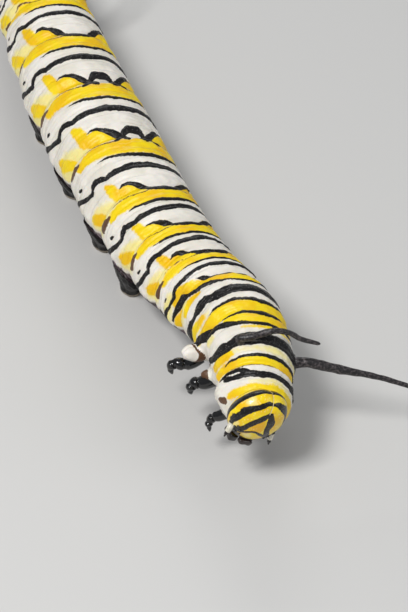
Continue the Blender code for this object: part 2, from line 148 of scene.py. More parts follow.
def facing(place):
    place = np.asarray(place, float)
    return directions(*(along_body(column, place) for column in (HEADING, PITCH, ROLL)))


def trace_spine():
    """Points of the centre line at equal steps, with the anchor segment's middle fixed."""
    steps = int(BODY_LENGTH / SPINE_STEP) + 1
    forward = facing((np.arange(steps) + 0.5) * SPINE_STEP)[0]
    points = np.concatenate((np.zeros((1, 3)), np.cumsum(-forward * SPINE_STEP, axis=0)))
    anchor = points[round(MIDDLES[ANCHOR] / SPINE_STEP)]
    return points + np.array((-MIDDLE_X, -MIDDLE_Y, ANCHOR_HEIGHT)) - anchor


SPINE = trace_spine()
SPINE_PLACES = np.arange(len(SPINE)) * SPINE_STEP


def centre_at(place):
    place = np.asarray(place, float)
    centre = np.stack([np.interp(place, SPINE_PLACES, SPINE[:, i]) for i in range(3)], axis=-1)
    ahead = np.minimum(place, 0.0)[..., None]
    return centre - facing(np.zeros_like(place))[0] * ahead


def body_places(points):
    """The place along the body, the angle from the back and the distance from the spine."""
    place = np.interp(points[:, 1], SPINE[:, 1], SPINE_PLACES)
    for _ in range(8):
        offset = points - centre_at(place)
        place = place - 0.8 * np.sum(offset * facing(place)[0], axis=1)
        place = np.clip(place, -1.5, BODY_LENGTH)
    forward, left, up = facing(place)
    offset = points - centre_at(place)
    across = np.sum(offset * left, axis=1)
    upward = np.sum(offset * up, axis=1)
    return place, np.degrees(np.arctan2(across, upward)), np.hypot(across, upward)


# The form of the skin

def swell(value, centre, spread):
    return np.exp(-(((value - centre) / spread) ** 2))


def wrapped(angle):
    return (angle + 180.0) % 360.0 - 180.0


def lean_at(place):
    """How far folds and bands lean back between the middle of the back and the right side."""
    return np.tan(np.radians(along_body(LEAN, place))) * along_body(HALF_WIDTH, place)


def leaned(place, angle):
    """Where a point would lie along the body if folds and bands ran square to it."""
    return place + lean_at(place) * np.sin(np.radians(angle - BAND_MIDDLE))


def lobe(sizes, angle, share):
    at_angle, at_share, height, angle_spread, share_spread = sizes
    return height * swell(np.abs(angle), at_angle, angle_spread) * swell(share, at_share, share_spread)


def segment_of(place):
    k = np.clip(np.searchsorted(STARTS, place, side="right") - 1, 0, len(NAMES) - 1)
    return k, (place - STARTS[k]) / LENGTHS[k]


def skin_swelling(place, angle):
    """How far lobes and the tail plate stand out from the plain body."""
    k, share = segment_of(place)
    extra = np.zeros_like(place)
    for number, name in enumerate(NAMES):
        here = k == number
        for sizes in LOBES.get(name, ()):
            extra += here * lobe(sizes, angle, share)
        if name == "thorax_1":
            extra += here * lobe(SHOULDER_LOBE, angle, share) * np.where(angle > 0, LEFT_SHOULDER, 1.0)
        if name in FILAMENT_LOBES:
            left_angle, right_angle, at_share, height, angle_spread, share_spread = FILAMENT_LOBES[name]
            around = swell(angle, left_angle, angle_spread) + swell(angle, right_angle, angle_spread)
            extra += here * height * around * swell(share, at_share, share_spread)
    half_angle, start, end, height = ANAL_PLATE
    inside = np.minimum(share - start, end - share) / PLATE_EDGE_SHARE
    inside = np.minimum(inside, (half_angle - np.abs(angle)) / PLATE_EDGE_ANGLE)
    extra += (k == len(NAMES) - 1) * height * np.clip(inside, 0, 1)
    return extra


def end_folds(place, angle):
    """The deep folds between segments."""
    k, share = segment_of(np.clip(leaned(place, angle), 0.0, BODY_LENGTH - 0.01))
    folds = swell(share, 0, END_FOLD_WIDTH) * (k > 0) + swell(share, 1, END_FOLD_WIDTH)
    return END_FOLD_DEPTH * folds


def closing(place):
    """How the skin narrows into the head and to the rounded tail."""
    neck = 1 - NECK_TAPER[0] * (1 - np.clip(place / NECK_TAPER[1], 0, 1)) ** 2
    inside_head = 1 - HIDDEN_TAPER[0] * np.clip(-place / HIDDEN_TAPER[1], 0, 1) ** 1.5
    tail_share = np.clip((place - STARTS[-2]) / LENGTHS[-1], 0, 1)
    start, width, steepness = TAIL_TAPER
    tail = np.sqrt(np.clip(1 - (np.maximum(tail_share - start, 0) / width) ** steepness, 0, 1))
    return neck * inside_head * tail


def skin_points(place, angle):
    """Points on the skin for places along the body and angles from the back."""
    place, angle = np.broadcast_arrays(np.asarray(place, float), wrapped(np.asarray(angle, float)))
    turn = np.radians(angle)
    flat = 1 - BELLY_FLATNESS * np.maximum(-np.cos(turn), 0) ** 2
    across = along_body(HALF_WIDTH, place) * np.sin(turn)
    upward = along_body(HALF_HEIGHT, place) * np.cos(turn) * flat
    reach = np.hypot(across, upward)
    inner = np.clip(place, 0.0, BODY_LENGTH - 0.01)
    extra = skin_swelling(inner, angle) - end_folds(inner, angle)
    scale = (1 + extra / reach) * closing(place)
    forward, left, up = facing(place)
    return centre_at(place) + left * (across * scale)[..., None] + up * (upward * scale)[..., None]


def root_at(name, share, angle):
    """Where a limb leaves a segment: the place along the body, the point and the way out."""
    k = NAMES.index(name)
    place = STARTS[k] + share * LENGTHS[k]
    skin = skin_points(place, angle)
    outward = unit(skin - centre_at(place))
    return place, skin + outward * GAP, outward


# Meshes from rings

def circle(sides):
    return 2 * math.pi * np.arange(sides) / sides


def oval(middle, first, second, first_half, second_half, sides):
    """A ring of points round a middle, spread along two directions."""
    turns = circle(sides)
    ring = middle + np.outer(np.cos(turns) * first_half, first)
    return ring + np.outer(np.sin(turns) * second_half, second)


def ball_rings(centre, radius, way, long=1.0, sides=16, rows=9):
    """Rings of a ball, or of an egg drawn out along its way."""
    side = unit(np.cross(way, (0.3, 0.5, 0.8)))
    other = np.cross(way, side)
    rings = []
    for row in range(1, rows):
        level = math.pi * row / rows - math.pi / 2
        size = radius * math.cos(level)
        middle = centre + way * radius * long * math.sin(level)
        rings.append(oval(middle, side, other, size, size, sides))
    return rings


def tube_rings(path, radii, sides):
    """Rings round a path, carried along without twist."""
    path = np.asarray(path)
    rings = []
    side = None
    for k in range(len(path)):
        ahead = unit(path[min(k + 1, len(path) - 1)] - path[max(k - 1, 0)])
        if side is None:
            side = np.cross(ahead, (0.1, 0.2, 0.9))
        side = unit(side - ahead * (side @ ahead))
        rings.append(oval(path[k], side, np.cross(ahead, side), radii[k], radii[k], sides))
    return rings


def ring_mesh(rings):
    """Vertices and faces of a tube through rings of points, closed at both ends."""
    rings = np.asarray(rings)
    count, sides = rings.shape[:2]
    corners = [(k, (k + 1) % sides) for k in range(sides)]
    faces = []
    for a in range(0, (count - 1) * sides, sides):
        b = a + sides
        faces += [(a + k, a + n, b + n, b + k) for k, n in corners]
    front = count * sides
    last = front - sides
    faces += [(n, k, front) for k, n in corners]
    faces += [(last + k, last + n, front + 1) for k, n in corners]
    ends = [rings[0].mean(axis=0)[None], rings[-1].mean(axis=0)[None]]
    return np.concatenate([rings.reshape(-1, 3)] + ends), faces


def joined(parts):
    """One set of vertices and faces from several."""
    points, faces, total = [], [], 0
    for part_points, part_faces in parts:
        points.append(part_points)
        faces += [tuple(corner + total for corner in face) for face in part_faces]
        total += len(part_points)
    return np.concatenate(points), faces


def new_object(name, points, faces, materials, smooth=True):
    mesh = bpy.data.meshes.new(name)
    mesh.from_pydata(points.tolist(), [], faces)
    mesh.update()
    if smooth:
        mesh.shade_smooth()
    for item in materials:
        mesh.materials.append(item)
    thing = bpy.data.objects.new(name, mesh)
    bpy.context.scene.collection.objects.link(thing)
    return thing


def mesh_values(items, name, width, kind=np.float32):
    values = np.zeros(len(items) * width, kind)
    items.foreach_get(name, values)
    return values.reshape(-1, width)


def put_points(mesh, points):
    mesh.vertices.foreach_set("co", points.astype(np.float32).ravel())
    mesh.update()


def add_attribute(mesh, name, values):
    made = mesh.attributes.new(name, "FLOAT", "POINT")
    made.data.foreach_set("value", np.asarray(values, np.float32))


def ease(points, edges, rounds):
    """Smooth a mesh by moving each vertex halfway to the mean of its neighbours."""
    counts = np.bincount(edges.ravel(), minlength=len(points))[:, None]
    for _ in range(rounds):
        total = np.zeros_like(points)
        for near, far in (edges.T, edges.T[::-1]):
            for i in range(3):
                total[:, i] += np.bincount(near, points[far, i], minlength=len(points))
        points = points * 0.5 + total / np.maximum(counts, 1) * 0.5
    return points


def ripple(points, size, seed):
    """A smooth random field between about -1 and 1, with features of a given size."""
    draw = np.random.default_rng(seed)
    total = np.zeros(len(points))
    for _ in range(9):
        way = draw.normal(size=3)
        way *= 2 * math.pi / size / np.linalg.norm(way) * draw.uniform(0.6, 1.3)
        total += np.sin(points @ way + draw.uniform(0, 2 * math.pi))
    return total / 4.0


# Prolegs

# Rings of a proleg from its sole up: share of the way to the root, and width.
PROLEG_RINGS = (
    (0, 0.55), (0, 0.8), (0.03, 0.93), (0.1, 1), (0.2, 1), (0.3, 0.94), (0.42, 0.88), (0.55, 0.92),
    (0.7, 1), (0.85, 1.1), (1, 1.24), (1.5, 1.1),
)
PROLEG_SIDES = 40
PROLEG_ROOT_ANGLE = 149.0
# The prolegs: segment, share of its length, distance of the sole from the middle, and half
# length and half width of sole and root.
PROLEGS = [(name, 0.5, 1.45, (0.62, 0.58), (0.88, 0.66)) for name in PROLEGGED]
PROLEGS += [("abdomen_10", 0.42, 0.98, (0.7, 0.5), (0.74, 0.5))]


def level_directions(place):
    forward, left, _ = facing(place)
    return unit(forward * (1, 1, 0)), unit(left * (1, 1, 0))


def proleg_rings(name, share, sole_out, sole, root, side):
    place, root_centre, outward = root_at(name, share, side * PROLEG_ROOT_ANGLE)
    forward, left = level_directions(place)
    sole_centre = centre_at(place) * (1, 1, 0) + left * side * sole_out
    tilt = math.atan2(float(-outward @ left), float(-outward[2]))
    rings = []
    for rise, width in PROLEG_RINGS:
        middle = sole_centre + (root_centre - sole_centre) * rise
        lifted = min(rise, 1.0)
        across = left * math.cos(tilt * lifted) - UPRIGHT * math.sin(tilt * lifted)
        half_long = (sole[0] + (root[0] - sole[0]) * lifted) * width
        half_wide = (sole[1] + (root[1] - sole[1]) * lifted) * width
        rings.append(oval(middle, across, forward, half_wide, half_long, PROLEG_SIDES))
    return rings


# The white fleshy bases of the legs: distance out from and above the leg's root, radius and
# how much longer than wide each is.
COXAE = (
    ("thorax_2", -0.3, 0.56, 0.34, 1.7),
    ("thorax_3", 0.12, 0.68, 0.43, 1.4),
    ("thorax_3", -0.22, 0.56, 0.52, 1.3),
)


def leg_root(name, side):
    """Where a leg leaves the skin, and its forward, left and outward directions."""
    root_angle, root_share = LEG_LOBES[name][:2]
    place, root, outward = root_at(name, root_share, side * root_angle)
    forward, left = level_directions(place)
    return root, forward, left, outward


def coxa_rings(name, out, rise, radius, long, side):
    root, _, left, _ = leg_root(name, side)
    centre = root + left * side * out + UPRIGHT * rise
    return ball_rings(centre, radius, left * side, long, sides=24, rows=14)


# The bands of the skin

# Lines on the thorax and first abdominal segment: angle from the back (the right side, the
# left repeats it), place along the body and half width.
COLLAR = (
    (-76, 1.08, 0.05), (-66, 1, 0.07), (-55, 0.98, 0.08), (-42, 0.97, 0.1), (-20, 0.93, 0.12),
    (0, 0.88, 0.1), (10, 0.85, 0.1),
)
COLLAR_BRANCH = (
    (-92, 1.35, 0.03), (-80, 1.27, 0.05), (-66, 1.34, 0.05), (-48, 1.32, 0.05), (-34, 1.1, 0.07),
)
COLLAR_LINE = ((-78, 1.5, 0), (-50, 1.44, 0.03), (-25, 1.47, 0.035), (10, 1.42, 0.035))
MESO_LINE = ((-82, 1.84, 0), (-60, 1.97, 0.025), (-40, 1.98, 0.035), (-20, 1.96, 0.04), (10, 1.9, 0.055))
MESO_BAND = (
    (-112, 3.62, 0.12), (-100, 3.2, 0.17), (-90, 3.02, 0.18), (-80, 2.96, 0.22), (-71, 2.95, 0.28),
    (-61, 2.84, 0.26), (-52, 2.88, 0.25), (-42, 2.92, 0.33), (-25, 2.94, 0.35), (-8, 2.92, 0.32),
    (10, 2.8, 0.28),
)
FORK_LINE = (
    (-108, 5.95, 0.16), (-100, 5.6, 0.2), (-92, 5.15, 0.25), (-82, 4.9, 0.24), (-70, 4.62, 0.19),
    (-60, 4.45, 0.15), (-50, 4.28, 0.11), (-40, 4.08, 0.08), (-30, 3.98, 0.065), (-10, 3.85, 0.05),
    (10, 3.78, 0.045),
)
UPPER_LINE = (
    (-64, 4.82, 0), (-50, 4.74, 0.03), (-34, 4.74, 0.055), (-18, 4.68, 0.085), (-4, 4.56, 0.11),
    (10, 4.46, 0.14),
)
META_LINE = (
    (-70, 5.74, 0), (-50, 5.7, 0.04), (-36, 5.64, 0.05), (-20, 5.55, 0.06), (-8, 5.4, 0.08),
    (10, 5.23, 0.1),
)
META_BAND = (
    (-114, 7.4, 0.32), (-104, 7.2, 0.28), (-94, 7.05, 0.2), (-84, 6.88, 0.12), (-77, 6.78, 0.1),
    (-68, 6.78, 0.22), (-58, 6.8, 0.29), (-50, 6.75, 0.26), (-43, 6.55, 0.21), (-34, 6.44, 0.33),
    (-12, 6.4, 0.33), (10, 6.3, 0.3),
)
FIRST_LINE = (
    (-104, 9.15, 0.05), (-90, 8.92, 0.08), (-78, 8.75, 0.12), (-68, 8.66, 0.15), (-60, 8.35, 0.13),
    (-50, 8, 0.09), (-40, 7.85, 0.08), (-30, 7.7, 0.075), (-20, 7.48, 0.06), (-10, 7.3, 0.05),
    (0, 7.15, 0.045), (10, 7.07, 0.045),
)
FIRST_LENS = (
    (-38, 8.78, 0), (-30, 8.5, 0.06), (-20, 8.2, 0.075), (-8, 8.02, 0.08), (0, 7.95, 0.07),
    (10, 7.9, 0.05),
)

# The pattern of an abdominal segment behind its black band: angle from the band middle,
# distance behind the band and half width, for a segment spaced REFERENCE_PITCH apart.
REFERENCE_PITCH = 3.3
BLACK_BAND = (
    (0, 0, 0.14), (12, 0, 0.14), (25, 0.03, 0.13), (38, 0.02, 0.11), (50, 0, 0.1), (58, -0.04, 0.09),
    (64, 0.06, 0.1), (72, 0.16, 0.1), (79, 0.05, 0.09), (84, -0.12, 0.08), (92, -0.02, 0.07),
    (100, 0.15, 0.07), (112, 0.5, 0.09), (125, 0.85, 0.12),
)
THIN_LINE = ((0, 0.62, 0.05), (15, 0.66, 0.045), (30, 0.72, 0.04), (45, 0.78, 0.03), (60, 0.8, 0))
LENS_TOP = (
    (11, 1.62, 0.15), (17, 1.72, 0.13), (24, 1.94, 0.1), (32, 2.18, 0.07), (40, 2.37, 0.05),
    (47, 2.4, 0.035), (53, 2.3, 0),
)
BRIDGE = ((0, 1.6, 0.14), (8, 1.6, 0.16), (15, 1.66, 0.14))
HIGH_BRIDGE = ((0, 2.1, 0.13), (7, 2.1, 0.13), (13, 1.92, 0.09), (20, 1.62, 0.06), (27, 1.5, 0.04))
LENS_FOOT = (
    (14, 1.62, 0.03), (24, 1.46, 0.035), (38, 1.5, 0.03), (50, 1.6, 0.03), (62, 1.66, 0.02), (72, 1.6, 0),
)
LOWER_FOLD = ((78, 1.4, 0.05), (88, 1.45, 0.16), (100, 1.5, 0.22))
SPIRACLE = ((94, 0.62, 0.03), (98, 0.68, 0.04))
# Yellow and cream patches: the same numbers.
YELLOW_BAND = ((0, 1.13, 0.46), (20, 1.13, 0.42), (40, 1.2, 0.38), (60, 1.28, 0.32), (80, 1.25, 0.18))
YELLOW_LENS = ((22, 1.66, 0.1), (30, 1.85, 0.28), (40, 1.95, 0.4), (50, 1.95, 0.36), (56, 2.1, 0.2))
YELLOW_SPOT = ((58, 2.1, 0.3), (60, 2.6, 0.26), (63, 2.85, 0.12))
FLANK_YELLOW = ((86, 1.75, 0.14), (94, 2, 0.26), (102, 2.3, 0.3))
SIDE_CREAM = ((62, 1.75, 0.26), (75, 1.85, 0.42), (92, 2, 0.62), (104, 2, 0.62))

# The black bands: place at the band middle, and the distance to the next.
BANDS = (
    (8.88, 2.9), (11.78, 2.92), (14.7, 3.45), (18.15, 4.75), (22.95, 4.6), (27.45, 4.1), (31.4, 3.5),
    (34.6, 2.6),
)
# The numbers of the bands whose bridge lies high, and the places of the two bands at the tail.
HIGH_BRIDGED = (3, 4)
LAST_BANDS = (36.85, 38.35)
# The black patch on the tail plate, set out as the thorax lines are.
TAIL_PATCH = ((-34, 39.45, 0.26), (-16, 39.42, 0.42), (10, 39.4, 0.48))
# The first spiracle and the dark skin round the roots of the legs.
BROWN_SPOTS = (
    ((-94, 0.22, 0.17), (-87, 0.06, 0.19)),
    ((-156, 0.5, 0.3), (-140, 0.55, 0.24)),
    ((-144, 2.95, 0.36), (-128, 3.25, 0.2), (-112, 3.62, 0.1)),
    ((-138, 5.85, 0.36), (-122, 6.2, 0.2), (-112, 6.6, 0.1)),
)
# Yellow on the thorax and first abdominal segment.
FRONT_YELLOWS = (
    ((-74, 0.06, 0.12), (-60, 0.06, 0.2), (-40, 0.06, 0.25), (10, 0.05, 0.27)),
    ((-100, 1.75, 0.26), (-70, 1.72, 0.24), (-20, 1.72, 0.22), (10, 1.66, 0.22)),
    ((-98, 2.45, 0.26), (-84, 2.48, 0.36), (-66, 2.4, 0.34), (-56, 2.35, 0.12)),
    ((-50, 4.48, 0.1), (-42, 4.42, 0.24), (-35, 4.38, 0.32), (-10, 4.28, 0.38), (10, 4.15, 0.34)),
    ((-104, 5.7, 0.2), (-90, 5.45, 0.26), (-75, 5.3, 0.32), (-60, 5.25, 0.38), (-30, 5.15, 0.4),
     (10, 4.88, 0.34)),
    ((-112, 6.7, 0.26), (-98, 6.45, 0.28), (-84, 6.2, 0.28), (-70, 6.05, 0.16)),
    ((-30, 3.68, 0.03), (0, 3.6, 0.07), (10, 3.58, 0.08)),
    ((-86, 7.85, 0.1), (-68, 7.85, 0.22), (-50, 7.65, 0.14)),
    ((-80, 9.1, 0.2), (-66, 9.15, 0.3), (-56, 8.75, 0.36), (-44, 8.35, 0.36), (-30, 8.02, 0.32),
     (-10, 7.65, 0.3), (10, 7.5, 0.3)),
    ((-104, 8.65, 0.3), (-92, 8.5, 0.22), (-84, 8.4, 0.16)),
)
FRONT_CREAMS = (
    ((-80, 2.55, 0.3), (-40, 2.35, 0.1), (-15, 2.3, 0.12), (10, 2.28, 0.24)),
    ((-90, 4.4, 0.3), (-80, 4.3, 0.3)),
    ((-90, 6.2, 0.35), (-60, 5.9, 0.1)),
    ((-95, 8.3, 0.4), (-75, 8.15, 0.4)),
    ((-100, 9.7, 0.5), (-80, 9.6, 0.4)),
    ((-30, 0.5, 0.08), (0, 0.52, 0.18), (10, 0.5, 0.2)),
)
# How much wider than noted black and yellow lines are, and the half width from which on they
# get all of it.
BLACK_WIDENING = 0.07
YELLOW_WIDENING = 0.06
FULL_HALF_WIDTH = 0.06
# Farther than this from a line, across and along, its depth isn't worked out.
NEAR_ACROSS = 30
NEAR_ALONG = 1.3
# The edge of the dark belly: angles from the middle at two places along the body.
BELLY_EDGE_PLACES = (5, 9.5)
BELLY_EDGE_ANGLES = (150, 114)


def side_line(points, band, pitch):
    """A line of the pattern as angles on the right side, places and half widths."""
    scale = pitch / REFERENCE_PITCH
    lean = float(lean_at(band))
    line = []
    for angle, behind, half in points:
        place = band + lean * math.sin(math.radians(angle)) + behind * scale
        line.append((BAND_MIDDLE - angle, place, half * (0.55 + 0.45 * scale)))
    return line


def abdomen_lines(*patterns, skip=()):
    """Each line of the pattern behind every black band that isn't skipped."""
    return [
        side_line(points, *band)
        for points in patterns
        for number, band in enumerate(BANDS) if number not in skip
    ]


def tail_lines(points, scale):
    return [side_line(points, band, REFERENCE_PITCH * scale) for band in LAST_BANDS]


def skin_lines():
    """The lines and patches of each colour."""
    black = [COLLAR, COLLAR_BRANCH, MESO_LINE, MESO_BAND, FORK_LINE, UPPER_LINE, META_LINE]
    black += [META_BAND, FIRST_LINE, FIRST_LENS, TAIL_PATCH]
    black += abdomen_lines(BLACK_BAND, THIN_LINE, LENS_TOP, SPIRACLE)
    black += abdomen_lines(BRIDGE, skip=HIGH_BRIDGED)
    black += [side_line(HIGH_BRIDGE, *BANDS[number]) for number in HIGH_BRIDGED]
    black += tail_lines(BLACK_BAND, 0.8)
    brown = [*BROWN_SPOTS, COLLAR_LINE, *abdomen_lines(LENS_FOOT, LOWER_FOLD)]
    yellow = [*FRONT_YELLOWS, *tail_lines(YELLOW_BAND, 0.5)]
    yellow += abdomen_lines(YELLOW_BAND, YELLOW_LENS, YELLOW_SPOT, FLANK_YELLOW)
    return black, brown, yellow, [*FRONT_CREAMS, *abdomen_lines(SIDE_CREAM)]


def line_field(lines, across, along, scale, widening=0.0):
    """How deep each point lies inside the nearest line, negative outside, in millimetres.

    The scale of each point turns its distance across into millimetres.
    """
    field = np.full(len(along), -1.0)
    for line in lines:
        for (a0, p0, w0), (a1, p1, w1) in zip(line, line[1:]):
            near = (along > min(p0, p1) - NEAR_ALONG) & (along < max(p0, p1) + NEAR_ALONG)
            near &= (across > min(a0, a1) - NEAR_ACROSS) & (across < max(a0, a1) + NEAR_ACROSS)
            if not near.any():
                continue
            dx, dy = (a1 - a0) * scale[near], p1 - p0
            px, py = (across[near] - a0) * scale[near], along[near] - p0
            t = np.clip((px * dx + py * dy) / (dx * dx + dy * dy), 0, 1)
            half = w0 + (w1 - w0) * t
            half = half + widening * np.clip(half / FULL_HALF_WIDTH, 0, 1)
            field[near] = np.maximum(field[near], half - np.hypot(px - t * dx, py - t * dy))
    return field


def mirrored_places(place, angle):
    """Each point's angle and place carried over to the right side of the bands."""
    left_side = angle > BAND_MIDDLE
    carried = place + 2 * lean_at(place) * np.sin(np.radians(angle - BAND_MIDDLE)) * left_side
    right = np.where(left_side, 2 * BAND_MIDDLE - angle, angle)
    right = np.where(right < -180, right + 360, right)
    return np.where(right > BAND_MIDDLE, 2 * BAND_MIDDLE - right, right), carried


def skin_colours(points):
    """Fields of black, brown, yellow, cream and belly for points of the skin."""
    place, angle, distance = body_places(points)
    angle = angle + 1.6 * ripple(points, 2.2, 3)
    wavering = place + 0.035 * ripple(points, 1.1, 4) + 0.015 * ripple(points, 0.4, 5)
    right, carried = mirrored_places(wavering, angle)
    scale = np.radians(1.0) * along_body(HALF_WIDTH, place)
    black, brown, yellow, cream = skin_lines()
    belly_edge = np.interp(place, BELLY_EDGE_PLACES, BELLY_EDGE_ANGLES)
    belly = (np.abs(angle - BAND_MIDDLE * 0.4) - belly_edge) / 12 + 0.35 * ripple(points, 1.2, 6)
    fields = {
        "black": line_field(black, right, carried, scale, BLACK_WIDENING),
        "brown": line_field(brown, right, carried, scale),
        "yellow": line_field(yellow, right, carried, scale, YELLOW_WIDENING),
        "cream": line_field(cream, right, carried, scale),
        "belly": belly,
    }
    return fields, place, angle, distance


# The skin

# Folds that part each segment into small rings: shares of its length, width and depth.
RING_FOLDS = (0.2, 0.38, 0.56, 0.76)
RING_FOLD_WIDTH = 0.028
RING_FOLD_DEPTH = 0.065
BLACK_EDGE_DEPTH = 0.045
BLACK_HEIGHT = 0.03
# The true legs stand in front of this place and the prolegs behind it.
LEGS_END = STARTS[NAMES.index("abdomen_2")]


def body_tube():
    places = np.arange(-0.75, BODY_LENGTH - 0.2, 0.1)
    places = np.concatenate((places, [BODY_LENGTH - 0.12, BODY_LENGTH - 0.02]))
    return ring_mesh(skin_points(places[:, None], np.arange(0, 360, 3.0)[None, :]))


def united_skin():
    """One closed skin round the body, the prolegs and the bases of the legs, in millimetres."""
    parts = [body_tube()]
    parts += [ring_mesh(proleg_rings(*sizes, side)) for side in (1, -1) for sizes in PROLEGS]
    parts += [ring_mesh(coxa_rings(*sizes, side)) for sizes in COXAE for side in (1, -1)]
    rough = new_object("rough_skin", *joined(parts), [])
    remesh = rough.modifiers.new("remesh", "REMESH")
    remesh.mode = "VOXEL"
    remesh.voxel_size = SKIN_VOXEL
    remesh.use_smooth_shade = True
    graph = bpy.context.evaluated_depsgraph_get()
    mesh = bpy.data.meshes.new_from_object(rough.evaluated_get(graph))
    bpy.data.objects.remove(rough, do_unlink=True)
    return mesh


def skin_relief(points, place, angle, black):
    """How far the skin stands out at points: folds, the edges of black lines and grain."""
    _, share = segment_of(np.clip(leaned(place, angle), 0.0, BODY_LENGTH - 0.01))
    shift = -RING_FOLD_DEPTH * sum(swell(share, at, RING_FOLD_WIDTH) for at in RING_FOLDS)
    shift -= BLACK_EDGE_DEPTH * np.clip(1 - np.abs(black) / 0.07, 0, 1) * (black < 0.05)
    shift += BLACK_HEIGHT * np.clip(black / 0.12, 0, 1)
    shift += 0.016 * ripple(points, 0.55, 8) + 0.009 * ripple(points, 0.24, 9)
    on_floor = np.clip(points[:, 2] / 0.4, 0, 1)
    return shift * on_floor


def mark_limbs(fields, points, place, angle, distance):
    """Set the prolegs off, clear the bands from the bases of the legs, and paint brown shade on their
    lower sides next to the body.
    """
    plain = np.linalg.norm(skin_points(place, angle) - centre_at(place), axis=1)
    height_over_skin = distance - plain
    fields["proleg"] = np.where(place > LEGS_END, height_over_skin, -1)
    on_coxa = (place < LEGS_END) & (height_over_skin > 0.14)
    # Painted shade: brown on the lower side of each leg base, close to the body.
    joint_shade = 0.30 - height_over_skin + (np.abs(angle) - 108) / 35 + 0.05 * ripple(points, 0.5, 10)
    for name, clear in (("black", -1), ("brown", joint_shade), ("yellow", -1)):
        fields[name] = np.where(on_coxa, clear, fields[name])


def make_skin(paint):
    mesh = united_skin()
    points = mesh_values(mesh.vertices, "co", 3).astype(float)
    points = ease(points, mesh_values(mesh.edges, "vertices", 2, np.int32), 4)
    put_points(mesh, points)
    normals = mesh_values(mesh.vertices, "normal", 3)
    fields, place, angle, distance = skin_colours(points)
    points += normals * skin_relief(points, place, angle, fields["black"])[:, None]
    points[:, 2] = np.maximum(points[:, 2], 0.0)
    mark_limbs(fields, points, place, angle, distance)
    fields["height"] = points[:, 2]
    put_points(mesh, points * MM)
    for name, values in fields.items():
        add_attribute(mesh, name, np.clip(values, -2, 4))
    add_attribute(mesh, "ring", leaned(place, angle))
    mesh.shade_smooth()
    mesh.materials.clear()
    mesh.materials.append(paint)
    skin = bpy.data.objects.new("skin", mesh)
    bpy.context.scene.collection.objects.link(skin)
    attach(skin, "root")
    fleshy = [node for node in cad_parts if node.startswith(("thorax", "abdomen", "proleg"))]
    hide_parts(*fleshy)


# Shaders

def linear(red, green, blue):
    """A colour given as screen values from 0 to 255."""
    def convert(value):
        value /= 255
        return value / 12.92 if value <= 0.04045 else ((value + 0.055) / 1.055) ** 2.4
    return convert(red), convert(green), convert(blue), 1.0


class Paint:
    """A material in the making. Its sources are nodes' outputs, numbers or colours."""

    def __init__(self, name):
        self.material = bpy.data.materials.new(name)
        self.material.use_nodes = True
        self.nodes = self.material.node_tree.nodes

    def wire(self, node, sources):
        for name, source in sources.items():
            if isinstance(source, bpy.types.NodeSocket):
                self.material.node_tree.links.new(source, node.inputs[name])
            else:
                node.inputs[name].default_value = source

    def node(self, kind, output, sources, **settings):
        """An output of a new node."""
        made = self.nodes.new("ShaderNode" + kind)
        for name, value in settings.items():
            setattr(made, name, value)
        self.wire(made, sources)
        return made.outputs[output]

    def maths(self, operation, first, second=0.0):
        return self.node("Math", 0, {0: first, 1: second}, operation=operation)

    def times(self, first, second):
        return self.maths("MULTIPLY", first, second)

    def plus(self, first, second):
        return self.maths("ADD", first, second)

    def mixed(self, share, first, second):
        return self.node("Mix", 2, {0: share, 6: first, 7: second}, data_type="RGBA")

    def field(self, name):
        """A field that the mesh carries."""
        return self.node("Attribute", "Fac", {}, attribute_name=name)

    def texture(self, kind, output, size, **sources):
        """A texture with features of about a size in millimetres."""
        place = self.node("TexCoord", "Object", {})
        return self.node(kind, output, {"Vector": place, "Scale": 1 / (size * MM), **sources})

    def noise(self, size, detail=3.0):
        return self.texture("TexNoise", "Fac", size, Detail=detail)

    def cells(self, size):
        return self.texture("TexVoronoi", "Distance", size)

    def ramp(self, value, low, high):
        """0 at low, 1 at high, smooth between."""
        sources = {"Value": value, "From Min": low, "From Max": high}
        return self.node("MapRange", "Result", sources, interpolation_type="SMOOTHSTEP")

    def edge(self, name, shaking, wobble, low, high):
        """A ramp over a field, shaken by noise so that its edge is rough."""
        shaken = self.times(self.maths("SUBTRACT", shaking, 0.5), wobble)
        return self.ramp(self.plus(self.field(name), shaken), low, high)

    def bump(self, height, depth, strength, under=None):
        sources = {"Height": height, "Distance": depth * MM, "Strength": strength}
        if under is not None:
            sources["Normal"] = under
        return self.node("Bump", "Normal", sources)

    def surface(self, **sources):
        """The finished material. The inputs of its surface are named with _ for each space."""
        named = {name.replace("_", " "): source for name, source in sources.items()}
        self.wire(self.nodes["Principled BSDF"], named)
        return self.material


# Materials

WHITE = linear(238, 232, 222)
CREAM = linear(242, 228, 150)
YELLOW = linear(246, 214, 12)
DEEP_YELLOW = linear(240, 192, 6)
BLACK = linear(15, 13, 13)
# Grey of the painted glints on the glossy grains of the black bands.
GLINT_GREY = linear(118, 114, 110)
# Brown of the skin's marks, also used for painted shade on the leg bases.
BROWN = linear(96, 66, 44)
BELLY = linear(66, 54, 58)
BELLY_PALE = linear(120, 104, 110)
SOLE = linear(150, 138, 120)
FLESH_REDNESS = (1, 0.6, 0.3)
WRINKLE_SPACING = 0.27


